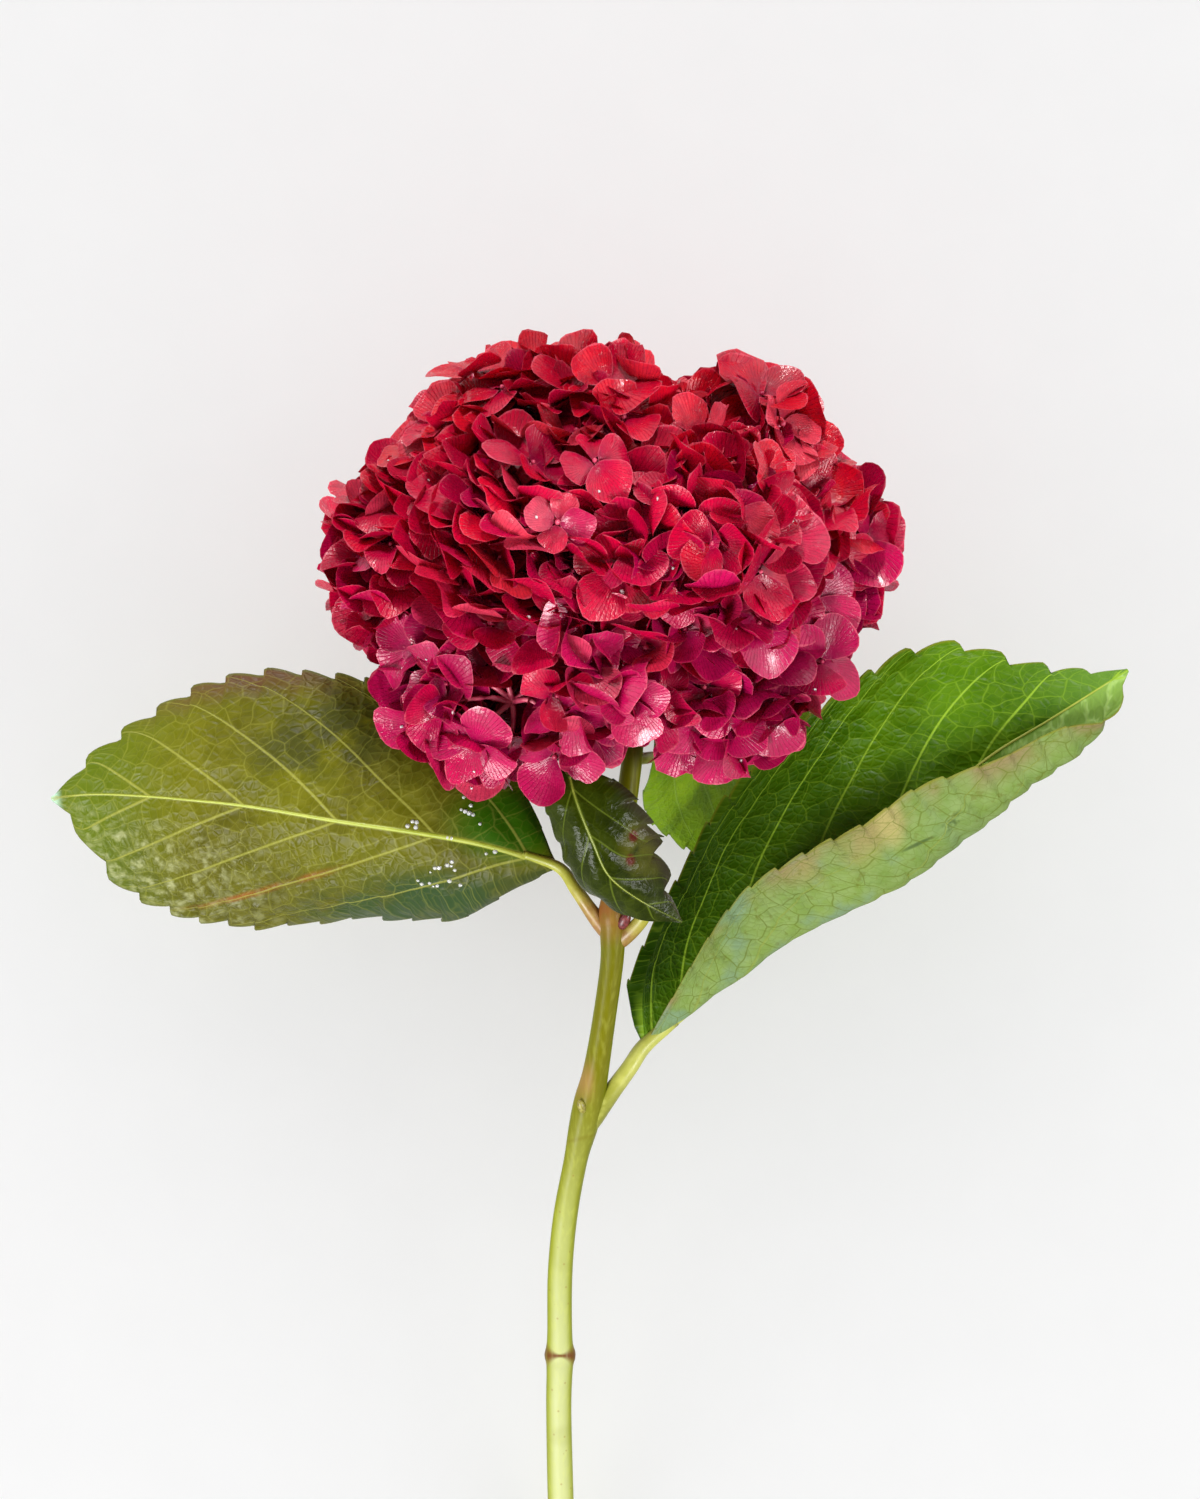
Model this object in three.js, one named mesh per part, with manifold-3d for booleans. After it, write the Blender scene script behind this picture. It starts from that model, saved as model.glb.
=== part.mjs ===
// A cut hydrangea: one leafy stem with its mophead bloom, lying on its side on a flat surface.
// All sizes are in millimetres. The origin is the flat spot under the bloom on which it rests.
// +X runs to the right, +Y along the stem towards the crown of the bloom, and +Z up from the surface.
import * as THREE from "three";
import { mergeVertices } from "three/addons/utils/BufferGeometryUtils.js";
import Module from "manifold-3d";

const wasm = await Module();
wasm.setup();

// Driving sizes of the whole flower
const BLOOM_CENTRE = new THREE.Vector3(0, 2, 80);
const BLADE_THICKNESS = 0.7;
const PETAL_THICKNESS = 0.7;
const SEAT_GAP = 0.3;

// The bloom's cymes: each is a round tuft of florets, and together they give the head its lobed outline
const CYMES = [
  { name: "crown_left", centre: [-20, 37, 86], radius: 31 },
  { name: "crown_right", centre: [38, 34, 86], radius: 28 },
  { name: "left", centre: [-53, 9, 84], radius: 35 },
  { name: "right", centre: [60, 4, 84], radius: 26 },
  { name: "low_left", centre: [-39, -33, 97], radius: 31 },
  { name: "low_right", centre: [31, -29, 96], radius: 32 },
  { name: "front_left", centre: [-26, 8, 116], radius: 37 },
  { name: "front_right", centre: [24, 4, 118], radius: 37 },
  { name: "front_low", centre: [-4, -26, 112], radius: 33 },
  { name: "front_crown", centre: [6, 29, 106], radius: 33 },
  { name: "back_left", centre: [-38, 5, 52], radius: 36 },
  { name: "back_right", centre: [36, 10, 52], radius: 36 },
  { name: "back_middle", centre: [0, 4, 44], radius: 43 },
  { name: "back_crown", centre: [0, 31, 56], radius: 33 },
];
const FLORET_SPACING = 26;
const FLORET_REACH = [16.5, 19];
const FLORET_SINK = [0.5, 4];
const REST_FLORET_REACH = 19;
const REST_PEDICEL_ENDS = [[0, 0, 40], [0, 0, 0.3]];
const STEM_CLEARANCE = 13;
const CORE_SHARE = 0.66;
const LEFT_FLORETS_TURN = new THREE.Vector3(-0.1, 0.45, 0.15);
const RIGHT_FLORETS_TURN = new THREE.Vector3(0.1, -0.1, 0.5);
const PEDICEL_RADIUS = 0.85;
const MOST_CUT_OFF_FLORET = 25;

// The stem, from the bloom down to its slanting cut: [x, y, z, radius]
const STEM = [
  [6.6, -43, 78, 3.1],
  [6.2, -55, 77.5, 3.1],
  [4.6, -68, 77, 3.2],
  [2, -87, 75.5, 3.4],
  [0.6, -98, 74, 3.7],
  [0.2, -104, 73, 4.5],
  [0.2, -109, 72.2, 3.9],
  [-0.1, -118.5, 70.5, 3.5],
  [-2.5, -136, 66.3, 3.5],
  [-4.9, -151, 62, 3.8],
  [-6.8, -160.5, 59, 4.3],
  [-8.6, -168.5, 56.4, 4],
  [-11.1, -178.8, 52.8, 3.6],
  [-14.2, -196, 46.5, 3.7],
  [-15.8, -214, 39.8, 3.8],
  [-16, -230, 33.9, 3.9],
  [-15.8, -235.5, 31.9, 4.8],
  [-15.9, -239.5, 30.4, 4.1],
  [-16.2, -256, 24.5, 3.9],
  [-15.8, -278, 16.8, 4],
  [-15.2, -300, 9.6, 4],
  [-14.7, -319, 4.6, 4],
];
const STEM_SIDES = 12;
const STEM_CUT_SLOPE = 0.9;

// The four leaves. Each half is bent across the midrib: bend gives the angle above the leaf's own plane,
// in degrees, in steps from the midrib to the margin. Widths and bends are spaced evenly from base to tip.
const LEAVES = [
  {
    name: "leaf_left",
    colour: 0x6f7d2c,
    facing: [0, 0, 1],
    midrib: [
      [-15.9, -89.7, 71], [-34.5, -83.9, 72], [-53.1, -80.1, 71], [-82.5, -75.8, 68],
      [-109.5, -71.4, 63], [-128.5, -69.4, 58.5], [-144, -68.2, 54], [-158.5, -67.8, 50], [-170.5, -69, 47],
    ],
    teeth: 16,
    toothDepth: 1.5,
    halves: [
      {
        side: -1,
        cells: 3,
        widths: [2, 25, 37, 44, 44.5, 42, 34, 19.5, 0.5],
        bends: [[0, -40], [-2, -36], [-4, -32], [0, -26], [5, -22], [8, -20], [10, -15], [5, -8], [0, 0]],
      },
      {
        side: 1,
        cells: 3,
        widths: [2, 25, 37, 44, 45, 43.5, 40.5, 30, 0.5],
        bends: [
          [-10, -60], [-15, -80], [-15, -84], [-15, -84], [-10, -72], [-5, -52], [-5, -46], [-5, -40], [0, 0],
        ],
      },
    ],
    petiole: [
      [1.5, -108, 72.3, 2.1], [-4.4, -104.5, 73, 2], [-9.5, -98.5, 73.2, 1.8],
      [-15.9, -89.7, 71.3, 1.6], [-27, -85.6, 71.6, 1.1],
    ],
  },
  {
    name: "leaf_right",
    colour: 0x3f7d16,
    facing: [0, 0, 1],
    midrib: [
      [10, -143.8, 57.5], [27.4, -129.4, 56], [47.6, -113.6, 54.5], [67, -97.6, 53.5],
      [88.2, -79.5, 54], [112.4, -57.9, 56], [132.4, -45.2, 58], [144.3, -37.6, 60], [156, -30.1, 62],
    ],
    teeth: 17,
    toothDepth: 1.6,
    halves: [
      {
        side: 1,
        cells: 3,
        widths: [12, 24, 36.5, 45, 47, 44.5, 38.5, 16, 0.5],
        bends: [[-5, -20], [-8, -22], [-8, -22], [-6, -22], [-4, -20], [0, -16], [2, -10], [2, 0], [0, 0]],
      },
      {
        side: -1,
        cells: 5,
        widths: [2, 17, 28, 37, 45, 46, 33, 20, 0.5],
        bends: [
          [40, 120, 150, 165, 170], [45, 125, 160, 165, 165], [50, 140, 165, 168, 170],
          [30, 100, 155, 170, 170], [12, 65, 140, 168, 172], [6, 50, 125, 165, 172],
          [5, 22, 75, 150, 165], [5, 10, 30, 60, 80], [0, 0, 0, 0, 0],
        ],
      },
    ],
    petiole: [
      [-6.5, -168, 57, 2.9], [-3.6, -163.5, 58.6, 2.9], [0.2, -157.6, 59, 2.8], [5.3, -150.5, 58.6, 2.6],
      [10, -143.8, 57.6, 2.4], [19, -135.7, 56.8, 1.6],
    ],
  },
  {
    name: "leaf_front",
    colour: 0x2f4417,
    facing: [0.1, 0, 1],
    midrib: [
      [-13.8, -57.5, 101], [-10.6, -69.5, 105], [-5.6, -82, 104.5], [-0.9, -91.8, 101.5],
      [8.3, -99.1, 96.5], [20.8, -105.7, 89],
    ],
    teeth: 8,
    toothDepth: 1.5,
    halves: [
      {
        side: 1,
        cells: 3,
        widths: [2, 14, 17, 18.5, 20, 19, 14, 7, 0.4],
        bends: [[5, -20], [5, -20], [5, -25], [5, -25], [5, -25], [5, -30], [5, -25], [0, -10], [0, 0]],
      },
      {
        side: -1,
        cells: 3,
        widths: [2, 17, 18, 17, 15, 12, 9, 4.5, 0.4],
        bends: [
          [0, -40], [-10, -50], [-15, -65], [-20, -80], [-20, -85], [-20, -85], [-20, -70], [0, -30], [0, 0],
        ],
      },
    ],
    petiole: [
      [1.5, -107, 73, 1.9], [6.5, -107.5, 75.5, 1.9], [11.6, -102.5, 79.5, 1.7], [12.5, -92, 85.5, 1.6],
      [5, -77, 93, 1.5], [-5.5, -63, 98, 1.4], [-13.8, -57.5, 101.2, 1.3], [-12.4, -63, 103, 0.9],
    ],
  },
  {
    name: "leaf_back",
    colour: 0x6a9a2a,
    facing: [0.35, 0.05, 1],
    midrib: [
      [12.6, -56.5, 64], [24, -57.5, 40], [38.4, -61.5, 21], [52, -71, 10], [63.5, -87.5, 4.5],
    ],
    teeth: 11,
    toothDepth: 1.5,
    halves: [
      {
        side: 1,
        cells: 3,
        widths: [3, 17, 27, 33, 35, 32, 24, 11, 0.5],
        bends: [[0, -20], [-5, -30], [-10, -35], [-10, -38], [-5, -30], [0, -18], [5, -5], [5, 5], [0, 0]],
      },
      {
        side: -1,
        cells: 3,
        widths: [3, 15, 22, 26, 28, 26, 20, 10, 0.5],
        bends: [[-10, -50], [-15, -60], [-15, -55], [-10, -45], [-5, -30], [5, -10], [10, 5], [5, 5], [0, 0]],
      },
    ],
    petiole: [
      [6.2, -57, 77, 1.8], [9.6, -56.8, 72.5, 1.8], [12.6, -56.5, 64.4, 1.7], [17.6, -57, 52.5, 1.2],
    ],
  },
];
const STATIONS_PER_TOOTH = 2;
const TABLE_CLEARANCE = 0.1;

// Buds in the leaf axils: [centre], half length, half width, and the way each points
const BUDS = [
  { name: "bud_upper", centre: [4.4, -104.2, 76.9], length: 2.6, width: 1.5, points: [0.55, 0.6, 0.4] },
  { name: "bud_lower", centre: [-9.2, -162, 63.2], length: 2.3, width: 1.2, points: [-0.25, 0.75, 0.35] },
];

// A closed solid for joining and cutting, from a three.js geometry.
function solidFrom(geometry) {
  const bare = geometry.clone();
  bare.deleteAttribute("normal");
  bare.deleteAttribute("uv");
  const merged = mergeVertices(bare, 1e-4);
  return new wasm.Manifold(
    new wasm.Mesh({
      numProp: 3,
      vertProperties: merged.attributes.position.array,
      triVerts: new Uint32Array(merged.index.array),
    }),
  );
}

// The three.js geometry of a joined solid.
function geometryFrom(solid) {
  const mesh = solid.getMesh();
  const geometry = new THREE.BufferGeometry();
  geometry.setAttribute("position", new THREE.BufferAttribute(mesh.vertProperties, 3));
  geometry.setIndex(new THREE.BufferAttribute(mesh.triVerts, 1));
  geometry.computeVertexNormals();
  return geometry;
}

function geometryOf(points, triangles) {
  const geometry = new THREE.BufferGeometry().setFromPoints(points);
  geometry.setIndex(triangles);
  return geometry;
}

const vector = (list) => new THREE.Vector3(list[0], list[1], list[2]);

// The largest body of a solid: cutting can leave loose scraps, which are dropped.
function largestBody(solid) {
  return solid.decompose().reduce((best, body) => (body.volume() > best.volume() ? body : best));
}

// A random number from 0 to 1, the same sequence on every run.
function seededRandom(seed) {
  let state = seed;
  return () => {
    state = (state + 0x6d2b79f5) | 0;
    let mixed = Math.imul(state ^ (state >>> 15), 1 | state);
    mixed = (mixed + Math.imul(mixed ^ (mixed >>> 7), 61 | mixed)) ^ mixed;
    return ((mixed ^ (mixed >>> 14)) >>> 0) / 4294967296;
  };
}

// A smooth value from a list spaced evenly over 0 to 1.
function along(list, share) {
  const place = share * (list.length - 1);
  const index = Math.min(Math.floor(place), list.length - 2);
  const before = list[Math.max(index - 1, 0)];
  const after = list[Math.min(index + 2, list.length - 1)];
  const t = place - index;
  const [a, b] = [list[index], list[index + 1]];
  return 0.5 * (2 * a + (b - before) * t + (2 * before - 5 * a + 4 * b - after) * t * t
    + (3 * a - before - 3 * b + after) * t * t * t);
}

// A closed round tube through points of [x, y, z, radius]. slope slants its far end, and grow fattens it.
function tube(points, sides, rings, slope = 0, grow = 0) {
  const path = new THREE.CatmullRomCurve3(points.map(vector));
  const radii = points.map((point) => point[3] + grow);
  const frames = path.computeFrenetFrames(rings, false);
  const placed = [];
  for (let ring = 0; ring <= rings; ring += 1) {
    const centre = path.getPoint(ring / rings);
    const radius = along(radii, ring / rings);
    const tangent = path.getTangent(ring / rings);
    const across = new THREE.Vector3(1, 0, 0).addScaledVector(tangent, -tangent.x).normalize();
    const upward = across.clone().cross(tangent);
    for (let side = 0; side < sides; side += 1) {
      const angle = ((side + 0.5) / sides) * 2 * Math.PI;
      const offset = across.clone().multiplyScalar(Math.cos(angle) * radius)
        .addScaledVector(upward, Math.sin(angle) * radius);
      const slant = ring === rings ? slope * Math.sin(angle) * radius : 0;
      placed.push(centre.clone().add(offset).addScaledVector(frames.tangents[ring], slant));
    }
  }
  const triangles = [];
  for (let ring = 0; ring < rings; ring += 1) {
    for (let side = 0; side < sides; side += 1) {
      const a = ring * sides + side;
      const b = ring * sides + ((side + 1) % sides);
      triangles.push(a, a + sides, b, b, a + sides, b + sides);
    }
  }
  const last = rings * sides;
  for (let side = 1; side < sides - 1; side += 1) {
    triangles.push(0, side, side + 1, last, last + side + 1, last + side);
  }
  return outward(geometryOf(placed, triangles));
}

// Turns a closed geometry's faces outward if its volume comes out negative.
function outward(geometry) {
  if (solidFrom(geometry).volume() < 0) {
    const index = geometry.index.array;
    for (let corner = 0; corner < index.length; corner += 3) {
      [index[corner + 1], index[corner + 2]] = [index[corner + 2], index[corner + 1]];
    }
  }
  return geometry;
}

// A closed thin blade from rows of middle points and normals: both faces are split into the same triangles.
function blade(rows, normals, thickness) {
  const columns = rows[0].length;
  const count = rows.length * columns;
  const face = (sign) => rows.flatMap((row, i) => row.map((point, j) => (
    point.clone().addScaledVector(normals[i][j], sign * 0.5 * thickness))));
  const triangles = [];
  for (let i = 0; i < rows.length - 1; i += 1) {
    for (let j = 0; j < columns - 1; j += 1) {
      const a = i * columns + j;
      const [b, c, d] = [a + 1, a + columns, a + columns + 1];
      const split = j < (columns - 1) / 2 ? [a, b, d, a, d, c] : [a, b, c, b, d, c];
      triangles.push(...split);
      for (let corner = 0; corner < 6; corner += 3) {
        triangles.push(split[corner] + count, split[corner + 2] + count, split[corner + 1] + count);
      }
    }
  }
  const rim = [];
  for (let j = 0; j < columns; j += 1) rim.push(j);
  for (let i = 1; i < rows.length; i += 1) rim.push(i * columns + columns - 1);
  for (let j = columns - 2; j >= 0; j -= 1) rim.push((rows.length - 1) * columns + j);
  for (let i = rows.length - 2; i > 0; i -= 1) rim.push(i * columns);
  rim.forEach((a, i) => {
    const b = rim[(i + 1) % rim.length];
    triangles.push(a, a + count, b, b, a + count, b + count);
  });
  return outward(geometryOf([...face(1), ...face(-1)], triangles));
}

// One half of a leaf at a station: points from the midrib to the margin, each cell turned a little
// further from the leaf's plane than the one before.
function acrossHalf(half, share, width, frame) {
  const steps = half.bends[0].map((_, column) => along(half.bends.map((bend) => bend[column]), share));
  const point = frame.middle.clone();
  const points = [];
  const normals = [];
  for (let cell = 0; cell < half.cells; cell += 1) {
    const bend = THREE.MathUtils.degToRad(along(steps, (cell + 0.5) / half.cells));
    const step = width / half.cells;
    point.addScaledVector(frame.side, half.side * Math.cos(bend) * step);
    point.addScaledVector(frame.normal, Math.sin(bend) * step);
    points.push(point.clone());
    normals.push(frame.normal.clone().multiplyScalar(Math.cos(bend))
      .addScaledVector(frame.side, -half.side * Math.sin(bend)));
  }
  return { points, normals };
}

// The blade of a leaf: a saw-toothed outline with the tips of its teeth towards the leaf's tip.
function leafBlade(leaf, thickness) {
  const midrib = new THREE.CatmullRomCurve3(leaf.midrib.map(vector));
  const facing = vector(leaf.facing).normalize();
  const stations = leaf.teeth * STATIONS_PER_TOOTH;
  const floor = TABLE_CLEARANCE + thickness / 2;
  const rows = [];
  const normals = [];
  for (let station = 0; station <= stations; station += 1) {
    const share = station / stations;
    const tangent = midrib.getTangentAt(share);
    const side = facing.clone().cross(tangent).normalize();
    const frame = { middle: midrib.getPointAt(share), side, normal: tangent.clone().cross(side) };
    const notch = station % STATIONS_PER_TOOTH === 0;
    const [left, right] = leaf.halves.map((half) => {
      const full = along(half.widths, share);
      const tooth = notch ? leaf.toothDepth * Math.min(1, full / 12) : 0;
      return acrossHalf(half, share, Math.max(full - tooth, 0.4), frame);
    });
    rows.push([...left.points.reverse(), frame.middle, ...right.points]);
    normals.push([...left.normals.reverse(), frame.normal, ...right.normals]);
  }
  rows.flat().forEach((point) => {
    point.z = Math.max(point.z, floor);
  });
  return blade(rows, normals, thickness);
}

// A floret's four sepals in one blade, cupped, with a notch between each two, facing +Z about the origin.
function floretGeometry(reach, cup) {
  const outline = [[45, 0.58], [73, 1], [107, 1]];
  const rim = [];
  for (let sepal = 0; sepal < 4; sepal += 1) {
    outline.forEach(([degrees, share]) => {
      const angle = THREE.MathUtils.degToRad(degrees + sepal * 90);
      const radius = reach * share;
      rim.push(new THREE.Vector3(Math.cos(angle) * radius, Math.sin(angle) * radius, cup * share * share));
    });
  }
  const lift = new THREE.Vector3(0, 0, PETAL_THICKNESS);
  const hollow = new THREE.Vector3(0, 0, 0);
  const points = [hollow, ...rim].flatMap((point) => [point.clone().add(lift), point.clone()]);
  const triangles = [];
  rim.forEach((_, i) => {
    const a = 2 + i * 2;
    const b = 2 + ((i + 1) % rim.length) * 2;
    triangles.push(0, a, b, 1, b + 1, a + 1, a, a + 1, b, b, a + 1, b + 1);
  });
  return geometryOf(points, triangles);
}

// Where a ray from the bloom's centre leaves the last cyme it passes through.
function bloomSurface(direction) {
  let found = null;
  CYMES.forEach(({ centre, radius }) => {
    const middle = vector(centre);
    const offset = BLOOM_CENTRE.clone().sub(middle);
    const b = offset.dot(direction);
    const inside = b * b - offset.lengthSq() + radius * radius;
    if (inside <= 0) return;
    const distance = -b + Math.sqrt(inside);
    if (distance > 0 && (!found || distance > found.distance)) {
      const point = BLOOM_CENTRE.clone().addScaledVector(direction, distance);
      found = { distance, point, normal: point.clone().sub(middle).normalize() };
    }
  });
  return found;
}

// Directions spread evenly over a sphere, by the golden angle.
function evenDirections(count) {
  const turn = Math.PI * (3 - Math.sqrt(5));
  return Array.from({ length: count }, (_, i) => {
    const z = 1 - (2 * (i + 0.5)) / count;
    const radius = Math.sqrt(1 - z * z);
    return new THREE.Vector3(Math.cos(i * turn) * radius, Math.sin(i * turn) * radius, z);
  });
}

// Florets over the cymes, no two nearer than the spacing, and none where the stem comes in.
function floretSites() {
  const stem = new THREE.CatmullRomCurve3(STEM.slice(0, 5).map(vector)).getPoints(20);
  const chosen = [new THREE.Vector3(0, 0, 0)];
  const sites = [];
  evenDirections(2400).forEach((direction) => {
    const { point, normal } = bloomSurface(direction);
    const crowded = chosen.some((other) => other.distanceTo(point) < FLORET_SPACING);
    const atStem = stem.some((place) => place.distanceTo(point) < STEM_CLEARANCE);
    if (crowded || atStem || point.z < 3) return;
    chosen.push(point);
    const turn = point.x < 0 ? LEFT_FLORETS_TURN : RIGHT_FLORETS_TURN;
    const seen = THREE.MathUtils.clamp(0.6 + normal.z, 0, 1);
    sites.push({ point, normal: normal.lerp(direction, 0.3).addScaledVector(turn, seen).normalize() });
  });
  return sites;
}

// One floret with its pedicel, which runs back into the bloom's core.
function floretSolid(site, random) {
  const reach = THREE.MathUtils.lerp(...FLORET_REACH, random());
  const sink = THREE.MathUtils.lerp(...FLORET_SINK, random());
  const cup = THREE.MathUtils.lerp(-1, 4.5, random());
  const lean = new THREE.Vector3(random() - 0.5, random() - 0.5, random() - 0.5).multiplyScalar(0.45);
  const normal = site.normal.clone().add(lean).normalize();
  const centre = site.point.clone().addScaledVector(site.normal, -sink);
  const turned = new THREE.Quaternion().setFromUnitVectors(new THREE.Vector3(0, 0, 1), normal)
    .multiply(new THREE.Quaternion().setFromAxisAngle(new THREE.Vector3(0, 0, 1), random() * Math.PI));
  const petals = floretGeometry(reach, cup)
    .applyMatrix4(new THREE.Matrix4().compose(centre, turned, new THREE.Vector3(1, 1, 1)));
  const root = BLOOM_CENTRE.clone().lerp(site.point, CORE_SHARE - 0.2);
  const top = centre.clone().addScaledVector(normal, PETAL_THICKNESS / 2);
  const pedicel = rod(root, top, PEDICEL_RADIUS, 3);
  return solidFrom(petals).add(solidFrom(pedicel));
}

// A straight rod between two points.
function rod(from, to, radius, sides) {
  const length = from.distanceTo(to);
  const direction = to.clone().sub(from).normalize();
  return new THREE.CylinderGeometry(radius * 0.8, radius, length, sides)
    .applyQuaternion(new THREE.Quaternion().setFromUnitVectors(new THREE.Vector3(0, 1, 0), direction))
    .translate(...from.clone().lerp(to, 0.5).toArray());
}

// The inside of the head, where the branches of the cymes crowd together, a smaller body of the same form.
function bloomCore() {
  const ball = new THREE.IcosahedronGeometry(1, 3).deleteAttribute("normal").deleteAttribute("uv");
  const geometry = mergeVertices(ball);
  const points = geometry.attributes.position;
  for (let i = 0; i < points.count; i += 1) {
    const direction = new THREE.Vector3().fromBufferAttribute(points, i).normalize();
    const reach = bloomSurface(direction).distance * CORE_SHARE;
    const point = BLOOM_CENTRE.clone().addScaledVector(direction, reach);
    points.setXYZ(i, ...point.toArray());
  }
  return solidFrom(geometry);
}

// Everything above the surface that the flower lies on.
function aboveTable() {
  return solidFrom(new THREE.BoxGeometry(500, 800, 400).translate(0, -100, 200));
}

function bloomSolid(keptClear) {
  const random = seededRandom(7);
  const pressed = floretGeometry(REST_FLORET_REACH, 0).rotateX(Math.PI).translate(0, 0, PETAL_THICKNESS);
  const pedicel = rod(...REST_PEDICEL_ENDS.map(vector), PEDICEL_RADIUS, 3);
  const pieces = [bloomCore(), solidFrom(pressed).add(solidFrom(pedicel))];
  floretSites().forEach((site) => {
    const floret = floretSolid(site, random);
    const crossing = keptClear.some((solid) => floret.intersect(solid).volume() > MOST_CUT_OFF_FLORET);
    if (!crossing) pieces.push(floret);
  });
  const joined = wasm.Manifold.union(pieces).intersect(aboveTable());
  return largestBody(keptClear.reduce((left, solid) => left.subtract(solid), joined));
}

function budGeometry(bud) {
  const direction = vector(bud.points).normalize();
  return new THREE.SphereGeometry(1, 8, 6).scale(bud.width, bud.length, bud.width)
    .applyQuaternion(new THREE.Quaternion().setFromUnitVectors(new THREE.Vector3(0, 1, 0), direction))
    .translate(...bud.centre);
}

function named(name, geometry, colour, roughness) {
  const material = new THREE.MeshStandardMaterial({ color: colour, roughness, metalness: 0 });
  const mesh = new THREE.Mesh(geometry, material);
  mesh.name = name;
  return mesh;
}

const stemSolid = solidFrom(tube(STEM, STEM_SIDES, 46, STEM_CUT_SLOPE)).intersect(aboveTable());
const stemRoom = solidFrom(tube(STEM, STEM_SIDES, 46, 0, SEAT_GAP));

const flower = new THREE.Group();
flower.add(named("stem", geometryFrom(stemSolid), 0xa3b13c, 0.5));

const keptClear = [stemRoom];
LEAVES.forEach((leaf) => {
  const petiole = solidFrom(tube(leaf.petiole, 8, leaf.petiole.length * 3));
  const whole = solidFrom(leafBlade(leaf, BLADE_THICKNESS)).add(petiole);
  const cut = keptClear.reduce((left, solid) => left.subtract(solid), whole);
  flower.add(named(leaf.name, geometryFrom(largestBody(cut)), leaf.colour, 0.55));
  const room = leaf.petiole.map(([x, y, z, radius]) => [x, y, z, radius + SEAT_GAP]);
  keptClear.push(
    solidFrom(leafBlade(leaf, BLADE_THICKNESS + 4 * SEAT_GAP)).add(solidFrom(tube(room, 8, room.length * 3))),
  );
});

BUDS.forEach((bud) => {
  const cut = keptClear.reduce((left, solid) => left.subtract(solid), solidFrom(budGeometry(bud)));
  flower.add(named(bud.name, geometryFrom(largestBody(cut)), 0x6b1f22, 0.5));
});

flower.add(named("flower_head", geometryFrom(bloomSolid(keptClear)), 0x9c1230, 0.5));

export default flower;
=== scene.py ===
"""A cut mophead hydrangea lying on its side, seen from straight above."""

import bpy
import numpy as np
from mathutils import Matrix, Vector


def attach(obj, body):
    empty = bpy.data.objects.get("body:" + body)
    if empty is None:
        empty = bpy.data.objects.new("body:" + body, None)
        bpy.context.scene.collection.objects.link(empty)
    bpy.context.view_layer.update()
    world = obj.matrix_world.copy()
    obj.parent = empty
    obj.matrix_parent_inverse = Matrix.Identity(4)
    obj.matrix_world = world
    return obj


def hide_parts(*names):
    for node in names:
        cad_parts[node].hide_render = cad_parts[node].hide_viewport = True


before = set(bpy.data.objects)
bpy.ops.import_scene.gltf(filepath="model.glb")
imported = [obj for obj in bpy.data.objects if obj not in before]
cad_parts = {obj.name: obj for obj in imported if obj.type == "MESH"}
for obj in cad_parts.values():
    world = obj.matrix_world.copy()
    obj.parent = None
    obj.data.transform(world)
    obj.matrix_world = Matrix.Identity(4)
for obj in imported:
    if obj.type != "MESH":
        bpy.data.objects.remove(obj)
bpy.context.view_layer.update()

# The surface it lies on, the light and the camera
# A pale matt table in a pale room. A small strong lamp stands on the crown side of the bloom, two
# larger ones at the lower left and on the right fill the shadows, and a ceiling lamp lights the
# table alone. The camera looks straight down, as the photograph was taken.
MM = 0.001
TABLE_SIZE = 6.0
TABLE_CLEARANCE = 0.0004
CAMERA_PLACE = (-0.0036, -0.05415, 2.480)
CAMERA_LENS = 192.1
ROOM_WALLS = 1.35
ROOM_CEILING = 0.18
WHITE = (1.0, 1.0, 1.0)
scene = bpy.context.scene
flower = bpy.data.collections.new("flower")
surface = bpy.data.collections.new("surface")
scene.collection.children.link(flower)
scene.collection.children.link(surface)


def node(tree, kind, inputs=None, **settings):
    """One shader node: settings by name, and inputs as values or as the output they are linked to."""
    made = tree.nodes.new("ShaderNode" + kind)
    for name, value in settings.items():
        setattr(made, name, value)
    for socket, value in (inputs or {}).items():
        if isinstance(value, bpy.types.NodeSocket):
            tree.links.new(value, made.inputs[socket])
        else:
            made.inputs[socket].default_value = value
    return made


def calc(tree, operation, *values):
    """The output of one Math node."""
    return node(tree, "Math", dict(enumerate(values)), operation=operation).outputs[0]


def times(tree, *values):
    """The product of all the values."""
    product = values[0]
    for value in values[1:]:
        product = calc(tree, "MULTIPLY", product, value)
    return product


def blend(tree, share, first, second):
    """Colour first, turning to second as share goes from 0 to 1."""
    return node(tree, "Mix", {0: share, 6: first, 7: second}, data_type="RGBA").outputs[2]


def rise(tree, value, low, high, start=0.0, end=1.0):
    """start below low, end above high, and a smooth step between them."""
    step = {"Value": value, "From Min": low, "From Max": high, "To Min": start, "To Max": end}
    return node(tree, "MapRange", step, interpolation_type="SMOOTHSTEP").outputs[0]


def noise(tree, place, scale, detail=3.0):
    """Cloudy variation from 0 to 1, scale patches to a metre of the place it is given."""
    return node(tree, "TexNoise", {"Vector": place, "Scale": scale, "Detail": detail}).outputs[0]


def colour(red, green, blue):
    """A colour as seen on a screen, 0 to 255, turned to the light values a shader works in."""
    seen = np.array([red, green, blue]) / 255
    light = np.where(seen <= 0.04045, seen / 12.92, ((seen + 0.055) / 1.055) ** 2.4)
    return (*light.tolist(), 1.0)


def new_material(name):
    """An empty material with its tree, its surface shader and its output joined."""
    made = bpy.data.materials.new(name)
    made.use_nodes = True
    tree = made.node_tree
    tree.nodes.clear()
    shader = node(tree, "BsdfPrincipled")
    out = node(tree, "OutputMaterial")
    tree.links.new(shader.outputs[0], out.inputs[0])
    return made, tree, shader, out


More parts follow.
